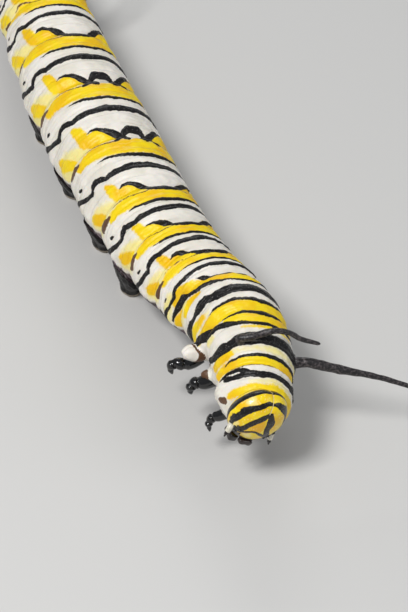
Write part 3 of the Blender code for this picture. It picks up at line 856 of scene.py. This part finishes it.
def skin_colour(paint, fine, broad):
    """The colours of the skin without its black bands."""
    white = paint.mixed(paint.ramp(broad, 0.35, 0.7), WHITE, linear(226, 220, 206))
    colour = paint.mixed(paint.edge("cream", fine, 0.3, -0.15, 0.25), white, CREAM)
    yellow = paint.mixed(paint.ramp(broad, 0.42, 0.66), YELLOW, DEEP_YELLOW)
    colour = paint.mixed(paint.edge("yellow", fine, 0.22, -0.07, 0.09), colour, yellow)
    belly = paint.mixed(paint.ramp(broad, 0.45, 0.7), BELLY, BELLY_PALE)
    colour = paint.mixed(paint.edge("belly", fine, 0.5, -0.2, 0.5), colour, belly)
    colour = paint.mixed(paint.edge("proleg", fine, 0.2, 0.10, 0.2), colour, BLACK)
    colour = paint.mixed(paint.ramp(paint.field("height"), 0.18, 0.30), SOLE, colour)
    # Brown is the skin's brown marks, and on the leg bases painted shade.
    return paint.mixed(paint.edge("brown", fine, 0.10, -0.03, 0.02), colour, BROWN)


def skin_material():
    paint = Paint("banded_skin")
    fine = paint.noise(0.16)
    broad = paint.noise(1.3, 2.0)
    grain = paint.cells(0.13)
    black_share = paint.edge("black", fine, 0.075, -0.014, 0.014)
    # Painted glints: grey specks on the grains of the thick black bands, standing in for their gloss.
    painted_glint = paint.times(paint.ramp(grain, 0.30, 0.12), paint.ramp(paint.field("black"), 0.06, 0.20))
    black = paint.mixed(paint.times(painted_glint, 0.7), BLACK, GLINT_GREY)
    turn = paint.times(paint.field("ring"), 2 * math.pi / WRINKLE_SPACING)
    wave = paint.maths("SINE", paint.plus(turn, paint.times(broad, 14.0)))
    normal = paint.bump(paint.times(wave, paint.noise(0.7)), 0.030, 0.6)
    normal = paint.bump(fine, 0.02, 0.5, normal)
    normal = paint.bump(paint.times(paint.ramp(grain, 0.5, 0.1), black_share), 0.03, 0.8, normal)
    return paint.surface(
        Base_Color=paint.mixed(black_share, skin_colour(paint, fine, broad), black),
        Roughness=paint.plus(paint.times(fine, 0.25), 0.32), Specular_IOR_Level=0.3,
        Subsurface_Weight=0.12, Subsurface_Radius=FLESH_REDNESS, Subsurface_Scale=0.3 * MM,
        Coat_Weight=0.10, Coat_Roughness=0.3, Normal=normal,
    )


def shell_material(name, colour, roughness=0.22):
    """A hard glossy shell of one colour with fine grain."""
    paint = Paint(name)
    fine = paint.noise(0.10)
    darker = tuple(value * 0.7 for value in colour[:3]) + (1.0,)
    return paint.surface(
        Base_Color=paint.mixed(paint.ramp(fine, 0.4, 0.7), colour, darker), Roughness=roughness,
        Coat_Weight=0.4, Coat_Roughness=0.12, Normal=paint.bump(fine, 0.006, 0.6),
    )


def filament_material():
    paint = Paint("filament_skin")
    # The grey mottle is painted glints on the filament's grainy black skin.
    share = paint.ramp(paint.noise(0.14), 0.42, 0.74)
    return paint.surface(
        Base_Color=paint.mixed(share, linear(22, 19, 20), linear(86, 78, 78)),
        Roughness=0.42, Normal=paint.bump(paint.cells(0.10), 0.025, 0.7),
    )


def head_colour(paint, fine, grain, black_share):
    broad = paint.ramp(paint.noise(0.9, 2.0), 0.40, 0.62)
    yellow = paint.mixed(broad, linear(247, 216, 18), linear(242, 194, 8))
    # The head's cream field also holds a painted highlight.
    colour = paint.mixed(paint.edge("cream", fine, 0.15, -0.12, 0.15), yellow, linear(245, 226, 140))
    colour = paint.mixed(paint.edge("orange", fine, 0.10, -0.06, 0.06), colour, linear(242, 182, 4))
    pale_speck = paint.times(paint.ramp(paint.cells(0.17), 0.34, 0.12), 0.45)
    colour = paint.mixed(pale_speck, colour, linear(255, 238, 170))
    colour = paint.mixed(paint.edge("brown", fine, 0.10, -0.03, 0.05), colour, linear(122, 62, 30))
    # Painted glints: grey specks on the grains of the black lines, standing in for their gloss.
    painted_glint = paint.times(paint.ramp(grain, 0.28, 0.10), 0.6)
    colour = paint.mixed(black_share, colour, paint.mixed(painted_glint, linear(14, 12, 12), linear(96, 96, 98)))
    return paint.mixed(paint.edge("seam", fine, 0.02, -0.012, 0.01), colour, linear(232, 214, 160))


def head_material():
    paint = Paint("head_shell")
    fine = paint.noise(0.12)
    grain = paint.cells(0.09)
    black_share = paint.edge("black", fine, 0.05, -0.012, 0.012)
    height = paint.times(paint.ramp(grain, 0.45, 0.1), black_share)
    return paint.surface(
        Base_Color=head_colour(paint, fine, grain, black_share), Roughness=0.30,
        Specular_IOR_Level=0.35, Coat_Weight=0.35, Coat_Roughness=0.1, Subsurface_Weight=0.06,
        Subsurface_Radius=FLESH_REDNESS, Subsurface_Scale=0.2 * MM,
        Normal=paint.bump(height, 0.02, 0.7, paint.bump(fine, 0.010, 0.5)),
    )


# The head

HEAD_HALF_WIDTH = 1.66
HEAD_TOP = 1.86
HEAD_BOTTOM = 1.60
HEAD_DEPTH = 1.10
HEAD_BACK = 0.16
HEAD_GAP = 0.48
HEAD_HEADING = -4.4
HEAD_PITCH = -6.2
HEAD_ROLL = 25.0
HEAD_RISE = 0.37
HEAD_SHIFT = -0.28
# The steps of the head's mesh: round the outline, and up the dome of the face in degrees.
HEAD_TURNS = 180
DOME_STEP = 1.5
DOME_WIDTH_POWER = 0.86
DOME_DEPTH_POWER = 0.92
# The back of the head, which the first body segment overlaps: depth and share of the outline.
HEAD_REAR = (
    (-0.76, 0.5), (-0.7, 0.66), (-0.62, 0.75), (-0.52, 0.815), (-0.42, 0.865), (-0.32, 0.905),
    (-0.22, 0.945), (-0.12, 0.975), (-0.05, 0.992),
)
# Black lines on the face: place across and up, and half width.
HEAD_LINES = (
    ((-1.5, -0.3, 0.06), (-1.48, 0, 0.09), (-1.42, 0.36, 0.1), (-1.35, 0.53, 0.1), (-1.25, 0.7, 0.09),
     (-1.1, 0.9, 0.1), (-0.86, 1.13, 0.1), (-0.62, 1.34, 0.08), (-0.3, 1.54, 0.06), (0.05, 1.53, 0.03),
     (0.2, 1.55, 0.05), (0.4, 1.52, 0.09), (0.6, 1.45, 0.1), (0.8, 1.32, 0.11), (1, 1.17, 0.11),
     (1.2, 0.98, 0.1), (1.32, 0.75, 0.1), (1.42, 0.4, 0.1), (1.5, 0, 0.08), (1.54, -0.3, 0.04)),
    ((-1.5, -0.3, 0.04), (-1.4, -0.57, 0.03), (-1.2, -0.6, 0.03)),
    ((-0.06, 1.04, 0.08), (-0.25, 0.8, 0.17), (-0.42, 0.6, 0.17), (-0.59, 0.4, 0.16), (-0.72, 0.2, 0.15),
     (-0.85, 0, 0.13), (-0.9, -0.2, 0.14), (-0.97, -0.4, 0.14), (-1.03, -0.6, 0.12), (-1.08, -0.82, 0.1),
     (-0.95, -1.04, 0.1), (-0.72, -1.17, 0.12), (-0.45, -1.25, 0.16), (0, -1.28, 0.18)),
    ((0.08, 1.04, 0.08), (0.18, 0.85, 0.15), (0.27, 0.6, 0.2), (0.33, 0.4, 0.2), (0.38, 0.2, 0.18),
     (0.42, 0, 0.16), (0.5, -0.2, 0.15), (0.6, -0.4, 0.14), (0.72, -0.62, 0.13), (0.84, -0.88, 0.14),
     (0.7, -1.1, 0.16), (0.4, -1.24, 0.16), (0, -1.28, 0.18)),
    ((-0.9, -0.65, 0.04), (-0.6, -0.42, 0.04), (-0.4, -0.32, 0.045), (-0.2, -0.3, 0.045),
     (0, -0.35, 0.045), (0.2, -0.42, 0.06), (0.55, -0.6, 0.05)),
    ((1.2, -0.34, 0.16), (1.26, -0.62, 0.18), (1.1, -0.86, 0.16)),
)
HEAD_ORANGE = (((-0.14, 0.66, 0.03), (-0.24, 0.4, 0.2), (-0.27, 0.15, 0.32), (-0.24, -0.05, 0.36)),)
# Cream patches of the face. The last one, high up beside the outer black arc, is a painted highlight.
HEAD_CREAM_AND_HIGHLIGHT = (
    ((-0.66, -0.62, 0.1), (-0.5, -0.7, 0.22), (-0.34, -0.8, 0.2)),
    ((-1.38, -0.2, 0.1), (-1.3, -0.45, 0.14), (-1.28, -0.85, 0.14)),
    ((-1.25, 1.1, 0.1), (-1.02, 1.32, 0.12)),
)
HEAD_BROWN = (((-0.85, -0.72, 0.03), (-0.66, -0.56, 0.08), (-0.46, -0.44, 0.03)),)
# Pale seams of the face.
HEAD_SEAMS = (((0, 1.75, 0.02), (-0.01, 1.3, 0.025), (-0.04, 1.06, 0.025)),)
HEAD_WIDENING = 0.04
# The black stripe round the rim: how far ahead of the outline its middle is, its half width,
# and where the head is black all over behind it.
RIM_MIDDLE = -0.09
RIM_HALF_WIDTH = 0.22
RIM_BACK = -0.50
STEMMA_RADIUS = 0.09
STEMMATA = ((1.16, -0.36), (1.24, -0.52), (1.2, -0.7), (1.04, -0.82), (0.84, -0.82), (0.94, -0.58))


def head_frame():
    """The head's centre, and its left, forward and up directions."""
    forward, left, up = directions(*(np.array(angle) for angle in (HEAD_HEADING, HEAD_PITCH, HEAD_ROLL)))
    body_forward, _, body_up = facing(0.0)
    centre = centre_at(0.0) + body_forward * (HEAD_GAP + HEAD_BACK) + body_up * HEAD_RISE
    return centre + left * HEAD_SHIFT, left, forward, up


HEAD_CENTRE, HEAD_LEFT, HEAD_FORWARD, HEAD_UP = head_frame()


def head_outline(turn):
    level = np.cos(turn)
    height = np.where(level > 0, HEAD_TOP, HEAD_BOTTOM)
    narrow = 1 - 0.16 * np.maximum(-level, 0) ** 2
    notch = 1 - 0.05 * swell(wrapped(np.degrees(turn)), 0, 14)
    return HEAD_HALF_WIDTH * np.sin(turn) * narrow * notch, height * level * notch


def head_points(turn, share, depth):
    across, upward = head_outline(turn)
    level = (across * share)[..., None] * HEAD_LEFT + (upward * share)[..., None] * HEAD_UP
    return HEAD_CENTRE + level + depth * HEAD_FORWARD


def dome(rise):
    """The share of the outline and the depth of the face, at an angle up from its rim."""
    return math.cos(rise) ** DOME_WIDTH_POWER, HEAD_DEPTH * math.sin(rise) ** DOME_DEPTH_POWER


def face_place(out, rise):
    """A point on the front of the head, and the way it faces."""
    turn = math.atan2(out / HEAD_HALF_WIDTH, rise / (HEAD_TOP if rise > 0 else HEAD_BOTTOM))
    edge = math.hypot(*(float(value) for value in head_outline(turn)))
    share = min(math.hypot(out, rise) / edge, 0.99)
    depth = dome(math.acos(share ** (1 / DOME_WIDTH_POWER)))[1]
    point = head_points(turn, share, depth)
    return point, unit(point - HEAD_CENTRE + HEAD_FORWARD * 0.2)


def head_mesh():
    """The plain head, whose last point is the middle of the face."""
    turns = circle(HEAD_TURNS)
    profile = [(share, depth) for depth, share in HEAD_REAR]
    profile += [dome(math.radians(degrees)) for degrees in np.arange(0, 90, DOME_STEP)]
    points, faces = ring_mesh([head_points(turns, share, depth) for share, depth in profile])
    points[-1] = HEAD_CENTRE + HEAD_FORWARD * HEAD_DEPTH
    return points, faces


def make_head(paint):
    points, faces = head_mesh()
    offset = points - HEAD_CENTRE
    across, upward, ahead = offset @ HEAD_LEFT, offset @ HEAD_UP, offset @ HEAD_FORWARD
    warp_x = across + 0.03 * ripple(points, 0.7, 21)
    warp_y = upward + 0.03 * ripple(points, 0.7, 22)
    flat = np.ones(len(points))
    black_lines = [[(x, y, half + HEAD_WIDENING) for x, y, half in line] for line in HEAD_LINES]
    black = line_field(black_lines, warp_x, warp_y, flat)
    seam = line_field(HEAD_SEAMS, across, upward, flat)
    groove = np.clip(1 + seam / 0.05, 0, 1) * (ahead > -0.4)
    shift = -0.035 * groove + 0.012 * np.clip(black / 0.08, 0, 1) + 0.004 * ripple(points, 0.25, 23)
    points = points + unit(offset) * shift[:, None]
    head = new_object("head_capsule", points * MM, faces, [paint])
    black = np.where(ahead > -0.2, black, -1.0)
    rim = RIM_HALF_WIDTH - np.abs(ahead - RIM_MIDDLE) + 0.03 * ripple(points, 0.8, 24)
    rim = np.maximum(rim, RIM_BACK - ahead)
    add_attribute(head.data, "black", np.maximum(black, rim))
    add_attribute(head.data, "seam", seam)
    # The cream field of the head also carries the painted highlight.
    for name, lines in (("brown", HEAD_BROWN), ("orange", HEAD_ORANGE), ("cream", HEAD_CREAM_AND_HIGHLIGHT)):
        add_attribute(head.data, name, line_field(lines, warp_x, warp_y, flat))
    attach(head, "root")
    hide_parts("head")


def make_eyes(paint):
    parts = []
    for side in (1, -1):
        for out, rise in STEMMATA:
            point, way = face_place(side * out, rise)
            parts.append(ring_mesh(ball_rings(point, STEMMA_RADIUS, way)))
    points, faces = joined(parts)
    eyes = new_object("stemmata", points * MM, faces, [paint])
    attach(eyes, "root")


# The mouthparts: distance left of, ahead of and above the head's centre, half sizes the same
# way, and how deep the notch in the lower edge is.
MOUTHPARTS = {
    "labrum": (0, 0.7, -1.46, (0.42, 0.22, 0.18), 0.08),
    "mandible_l": (0.48, 0.22, -1.74, (0.28, 0.22, 0.24), 0),
    "mandible_r": (-0.48, 0.22, -1.74, (0.28, 0.22, 0.24), 0),
    "labium": (0, -0.44, -1.92, (0.6, 0.2, 0.24), 0),
}
MOUTH_SIDES = 40
MOUTH_ROWS = 20
MOUTH_ROUNDNESS = 0.6


def in_head(left, ahead, up):
    """A place or way set out along the head's own directions."""
    return HEAD_LEFT * left + HEAD_FORWARD * ahead + HEAD_UP * up


def soften(value):
    return np.sign(value) * np.abs(value) ** MOUTH_ROUNDNESS


def block_rings(centre, halves):
    """Rings of a block with rounded edges."""
    wide, long, high = halves
    turns = circle(MOUTH_SIDES)
    rings = []
    for row in range(1, MOUTH_ROWS):
        tilt = math.pi * row / MOUTH_ROWS - math.pi / 2
        level = float(soften(math.cos(tilt)))
        ring = np.outer(soften(np.cos(turns)) * wide * level, HEAD_LEFT)
        ring += np.outer(soften(np.sin(turns)) * long * level, HEAD_FORWARD)
        rings.append(centre + ring + HEAD_UP * high * float(soften(math.sin(tilt))))
    return rings


def make_mouthpart(name, paint):
    left, ahead, up, halves, notch = MOUTHPARTS[name]
    centre = HEAD_CENTRE + in_head(left, ahead, up)
    points, faces = ring_mesh(block_rings(centre, halves))
    offset = points - centre
    lift = notch * swell(offset @ HEAD_LEFT, 0, 0.12) * np.clip(-(offset @ HEAD_UP) / halves[2], 0, 1)
    piece = new_object(name, (points + lift[:, None] * HEAD_UP) * MM, faces, [paint])
    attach(piece, "root")
    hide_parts(name)


# Along an antenna from its root, and its radius there. It is pale up to the dark tip.
ANTENNA_STEPS = (-0.3, -0.02, 0.1, 0.2, 0.23, 0.26, 0.34, 0.39, 0.42, 0.45, 0.5, 0.54)
ANTENNA_RADII = (0.2, 0.17, 0.16, 0.15, 0.1, 0.11, 0.11, 0.1, 0.06, 0.06, 0.05, 0.03)
ANTENNA_TIP = 0.24


def make_antennae(pale, dark):
    for side, letter in ((1, "l"), (-1, "r")):
        root = HEAD_CENTRE + in_head(side * 1.36, 0.56, -0.86)
        outward = unit(in_head(side * 0.20, 0.40, -1))
        path = [root + outward * step for step in ANTENNA_STEPS]
        points, faces = ring_mesh(tube_rings(path, ANTENNA_RADII, 20))
        antenna = new_object(f"antenna_{letter}", points * MM, faces, [pale, dark])
        middles = np.array([points[list(face)].mean(axis=0) for face in faces])
        in_tip = (middles - root) @ outward > ANTENNA_TIP
        antenna.data.polygons.foreach_set("material_index", in_tip.astype(np.int32))
        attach(antenna, "root")
        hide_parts(f"antenna_{letter}")


# Legs and filaments

def smooth_path(points, count):
    """Places spread on a curve through points."""
    points = np.array(points, float)
    ends = np.concatenate(([points[0] * 2 - points[1]], points, [points[-1] * 2 - points[-2]]))
    place = np.linspace(0, len(points) - 1, count)
    i = np.minimum(place.astype(int), len(points) - 2)
    t = (place - i)[:, None]
    a, b, c, d = (ends[i + k] for k in range(4))
    curved = (2 * a - 5 * b + 4 * c - d) * t ** 2 + (3 * b - a - 3 * c + d) * t ** 3
    return (2 * b + (c - a) * t + curved) / 2


def lengths_along(path):
    steps = np.linalg.norm(np.diff(path, axis=0), axis=1)
    return np.concatenate(([0], np.cumsum(steps)))


# The bends of each leg after its root: distance out from, ahead of and above the root.
LEG_BENDS = {
    "leg_1_l": ((0.16, 0, -0.24), (0.3, 0.04, -0.48), (0.32, 0.14, -0.74), (0.24, 0.24, -1)),
    "leg_1_r": ((0.3, -0.1, -0.2), (0.5, -0.02, -0.55), (0.42, 0.18, -1)),
    "leg_2_l": ((0.34, -0.02, -0.14), (0.56, 0.06, -0.38), (0.58, 0.14, -0.66), (0.46, 0.22, -0.96)),
    "leg_2_r": ((0.38, -0.08, -0.08), (0.66, -0.04, -0.24), (0.74, 0.04, -0.48), (0.66, 0.1, -0.78)),
    "leg_3_l": ((0.4, 0, -0.16), (0.72, 0, -0.34), (0.84, 0.04, -0.64), (0.74, 0.1, -1)),
    "leg_3_r": ((0.42, -0.06, -0.2), (0.9, -0.24, -0.18), (1.12, -0.26, -0.5), (1, -0.18, -0.92)),
}
# Share of the leg's length and radius, with a narrow neck at each joint.
LEG_PROFILE = (
    (-0.2, 0.42), (0, 0.4), (0.1, 0.38), (0.2, 0.35), (0.25, 0.28), (0.28, 0.27), (0.32, 0.35),
    (0.42, 0.34), (0.5, 0.3), (0.55, 0.24), (0.58, 0.23), (0.62, 0.3), (0.69, 0.28), (0.76, 0.2),
    (0.79, 0.16), (0.82, 0.18), (0.9, 0.13), (0.96, 0.08), (1, 0.03),
)
LEG_RING_COUNT = 60
FIRST_LEG_SCALE = 0.76
# Each leg starts this deep under its root.
LEG_SUNK = 0.5
LEG_SIDES = 24


def make_leg(node, paint):
    name = f"thorax_{node[4]}"
    side = 1 if node.endswith("l") else -1
    root, forward, left, outward = leg_root(name, side)
    points = [root - outward * LEG_SUNK, root]
    for out, ahead, rise in LEG_BENDS[node]:
        points.append(root + left * side * out + forward * ahead + UPRIGHT * rise)
    path = smooth_path(points, LEG_RING_COUNT)
    steps = lengths_along(path)
    share = (steps - LEG_SUNK) / (steps[-1] - LEG_SUNK)
    radii = np.interp(share, *zip(*LEG_PROFILE))
    if name == "thorax_1":
        radii = radii * FIRST_LEG_SCALE
    mesh_points, faces = ring_mesh(tube_rings(path, radii, LEG_SIDES))
    leg = new_object(node, mesh_points * MM, faces, [paint])
    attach(leg, "root")
    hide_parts(node)


# The filaments: segment, bends (distance left of, ahead of and above the root), and radii from
# root to tip.
REAR_RADII = (0.28, 0.22, 0.19, 0.17, 0.15, 0.1)
FILAMENTS = {
    "filament_front_l": (
        "thorax_2",
        ((0, 0, 0), (0.5, 0.06, 0.1), (2, 0.17, 0.08), (4.15, 0.35, 0.15), (5.85, 0.6, 0.12),
         (7.4, 0.85, 0)),
        (0.28, 0.27, 0.25, 0.19, 0.16, 0.14, 0.12, 0.1),
    ),
    "filament_front_r": (
        "thorax_2",
        ((0.12, 0, -0.08), (0.3, 0.06, 0.12), (0.66, 0.08, 0.34), (1.15, 0, 0.6),
         (1.78, -0.06, 0.9), (2.62, -0.15, 0.84), (3.5, -0.25, 0.4), (4.7, -0.3, 0.2)),
        (0.22, 0.2, 0.18, 0.16, 0.15, 0.14, 0.13, 0.1),
    ),
    "filament_rear_l": (
        "abdomen_8", ((0, 0, 0), (0.5, -0.3, 0.8), (1, -1.7, 2.1), (1.1, -3.6, 2.7)), REAR_RADII,
    ),
    "filament_rear_r": (
        "abdomen_8", ((0, 0, 0), (-0.5, -0.3, 0.8), (-1, -1.7, 2.1), (-1.1, -3.6, 2.7)), REAR_RADII,
    ),
}
FILAMENT_RING_COUNT = 120
FILAMENT_SIDES = 28
FILAMENT_SUNK = 0.7
FILAMENT_TIP = 0.25
FILAMENT_RIPPLE = 0.06


def filament_sizes(path, radii):
    """The radius at each point of the path, with a collar at the root and a rounded tip."""
    steps = lengths_along(path)
    share = np.clip((steps - FILAMENT_SUNK) / (steps[-1] - FILAMENT_SUNK), 0, 1)
    sizes = np.interp(share, np.linspace(0, 1, len(radii)), radii)
    sizes = sizes + 0.03 * swell(steps, 0.35, 0.28)
    tip = np.clip((steps[-1] - steps) / FILAMENT_TIP, 0, 1)
    return sizes * np.sqrt(np.clip(1 - (1 - tip) ** 2, 0.02, 1))


def make_filament(node, paint):
    name, bends, radii = FILAMENTS[node]
    left_angle, right_angle, share = FILAMENT_LOBES[name][:3]
    place, root, outward = root_at(name, share, left_angle if node.endswith("l") else right_angle)
    forward, left, up = facing(place)
    points = [root - outward * FILAMENT_SUNK]
    points += [root + left * a + forward * b + up * c for a, b, c in bends]
    path = smooth_path(points, FILAMENT_RING_COUNT)
    mesh_points, faces = ring_mesh(tube_rings(path, filament_sizes(path, radii), FILAMENT_SIDES))
    middle = np.repeat(path, FILAMENT_SIDES, axis=0)
    around = mesh_points[:len(middle)]
    uneven = FILAMENT_RIPPLE * ripple(around, 0.5, 31)
    mesh_points[:len(middle)] = around + (around - middle) * uneven[:, None]
    filament = new_object(node, mesh_points * MM, faces, [paint])
    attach(filament, "root")
    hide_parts(node)


# The floor, lights and camera

CAMERA_ELEVATION = 44.0
CAMERA_AZIMUTH = -26.5
CAMERA_ROLL = 8.2
CAMERA_DISTANCE = 380.0
PICTURE = (408, 612)
PIXELS_PER_MM = 18.6
# The place on the spine that the camera is set by, and where it falls in the picture.
AIM_PLACE = 2.88
AIM_PIXEL = (252.9, 365)
SENSOR_HEIGHT = 36.0
# In metres.
FLOOR_HALF_WIDTH = 1.2


def make_floor():
    points = np.array(((-1, -1, 0), (1, -1, 0), (1, 1, 0), (-1, 1, 0))) * FLOOR_HALF_WIDTH
    paint = Paint("floor").surface(Base_Color=(0.62, 0.61, 0.59, 1.0), Roughness=0.7)
    floor = new_object("floor", points, [(0, 1, 2, 3)], [paint], smooth=False)


def add_light(name, spot, target, energy, size):
    light = bpy.data.lights.new(name, "AREA")
    light.energy = energy
    light.size = size
    lamp = bpy.data.objects.new(name, light)
    lamp.location = Vector(spot)
    lamp.rotation_euler = (Vector(target) - Vector(spot)).to_track_quat("-Z", "Y").to_euler()
    bpy.context.scene.collection.objects.link(lamp)


def make_lights():
    world = bpy.data.worlds.new("studio")
    bpy.context.scene.world = world
    world.use_nodes = True
    background = world.node_tree.nodes["Background"]
    background.inputs[0].default_value = (0.80, 0.84, 0.90, 1.0)
    background.inputs[1].default_value = 0.34
    middle = (0.0, 0.0, 0.003)
    add_light("key", (-0.10, -0.06, 0.16), middle, 0.28, 0.05)
    add_light("fill", (0.16, -0.12, 0.12), middle, 0.07, 0.12)
    add_light("rim", (0.05, 0.18, 0.10), middle, 0.08, 0.08)


def make_camera():
    placing = (
        Matrix.Rotation(math.radians(CAMERA_AZIMUTH), 4, "Z")
        @ Matrix.Rotation(math.radians(90 - CAMERA_ELEVATION), 4, "X")
        @ Matrix.Rotation(math.radians(CAMERA_ROLL), 4, "Z")
    )
    distance = CAMERA_DISTANCE * MM
    back = placing.col[2].xyz
    placing.translation = Vector(centre_at(AIM_PLACE)) * MM + back * distance
    camera = bpy.data.cameras.new("camera")
    stand = bpy.data.objects.new("camera", camera)
    bpy.context.scene.collection.objects.link(stand)
    stand.matrix_world = placing
    camera.sensor_fit = "VERTICAL"
    camera.sensor_height = SENSOR_HEIGHT
    camera.lens = SENSOR_HEIGHT * distance / (PICTURE[1] / (PIXELS_PER_MM / MM))
    camera.shift_x = -(AIM_PIXEL[0] - PICTURE[0] / 2) / PICTURE[1]
    camera.shift_y = (AIM_PIXEL[1] - PICTURE[1] / 2) / PICTURE[1]
    camera.clip_start = 0.001
    bpy.context.scene.camera = stand


def main():
    make_skin(skin_material())
    black_shell = shell_material("leg_shell", linear(9, 8, 8), 0.14)
    dark_shell = shell_material("mouth_shell", linear(34, 26, 24))
    labrum_shell = shell_material("pale_shell", linear(44, 31, 26))
    make_head(head_material())
    make_eyes(shell_material("stemma_shell", linear(16, 13, 13), 0.08))
    make_mouthpart("labrum", labrum_shell)
    for name in ("mandible_l", "mandible_r", "labium"):
        make_mouthpart(name, dark_shell)
    make_antennae(shell_material("antenna_shell", linear(232, 226, 206)), dark_shell)
    for node in LEG_BENDS:
        make_leg(node, black_shell)
    filament_paint = filament_material()
    for node in FILAMENTS:
        make_filament(node, filament_paint)
    make_floor()
    make_lights()
    make_camera()


main()
bpy.context.scene.view_settings.view_transform = "Standard"
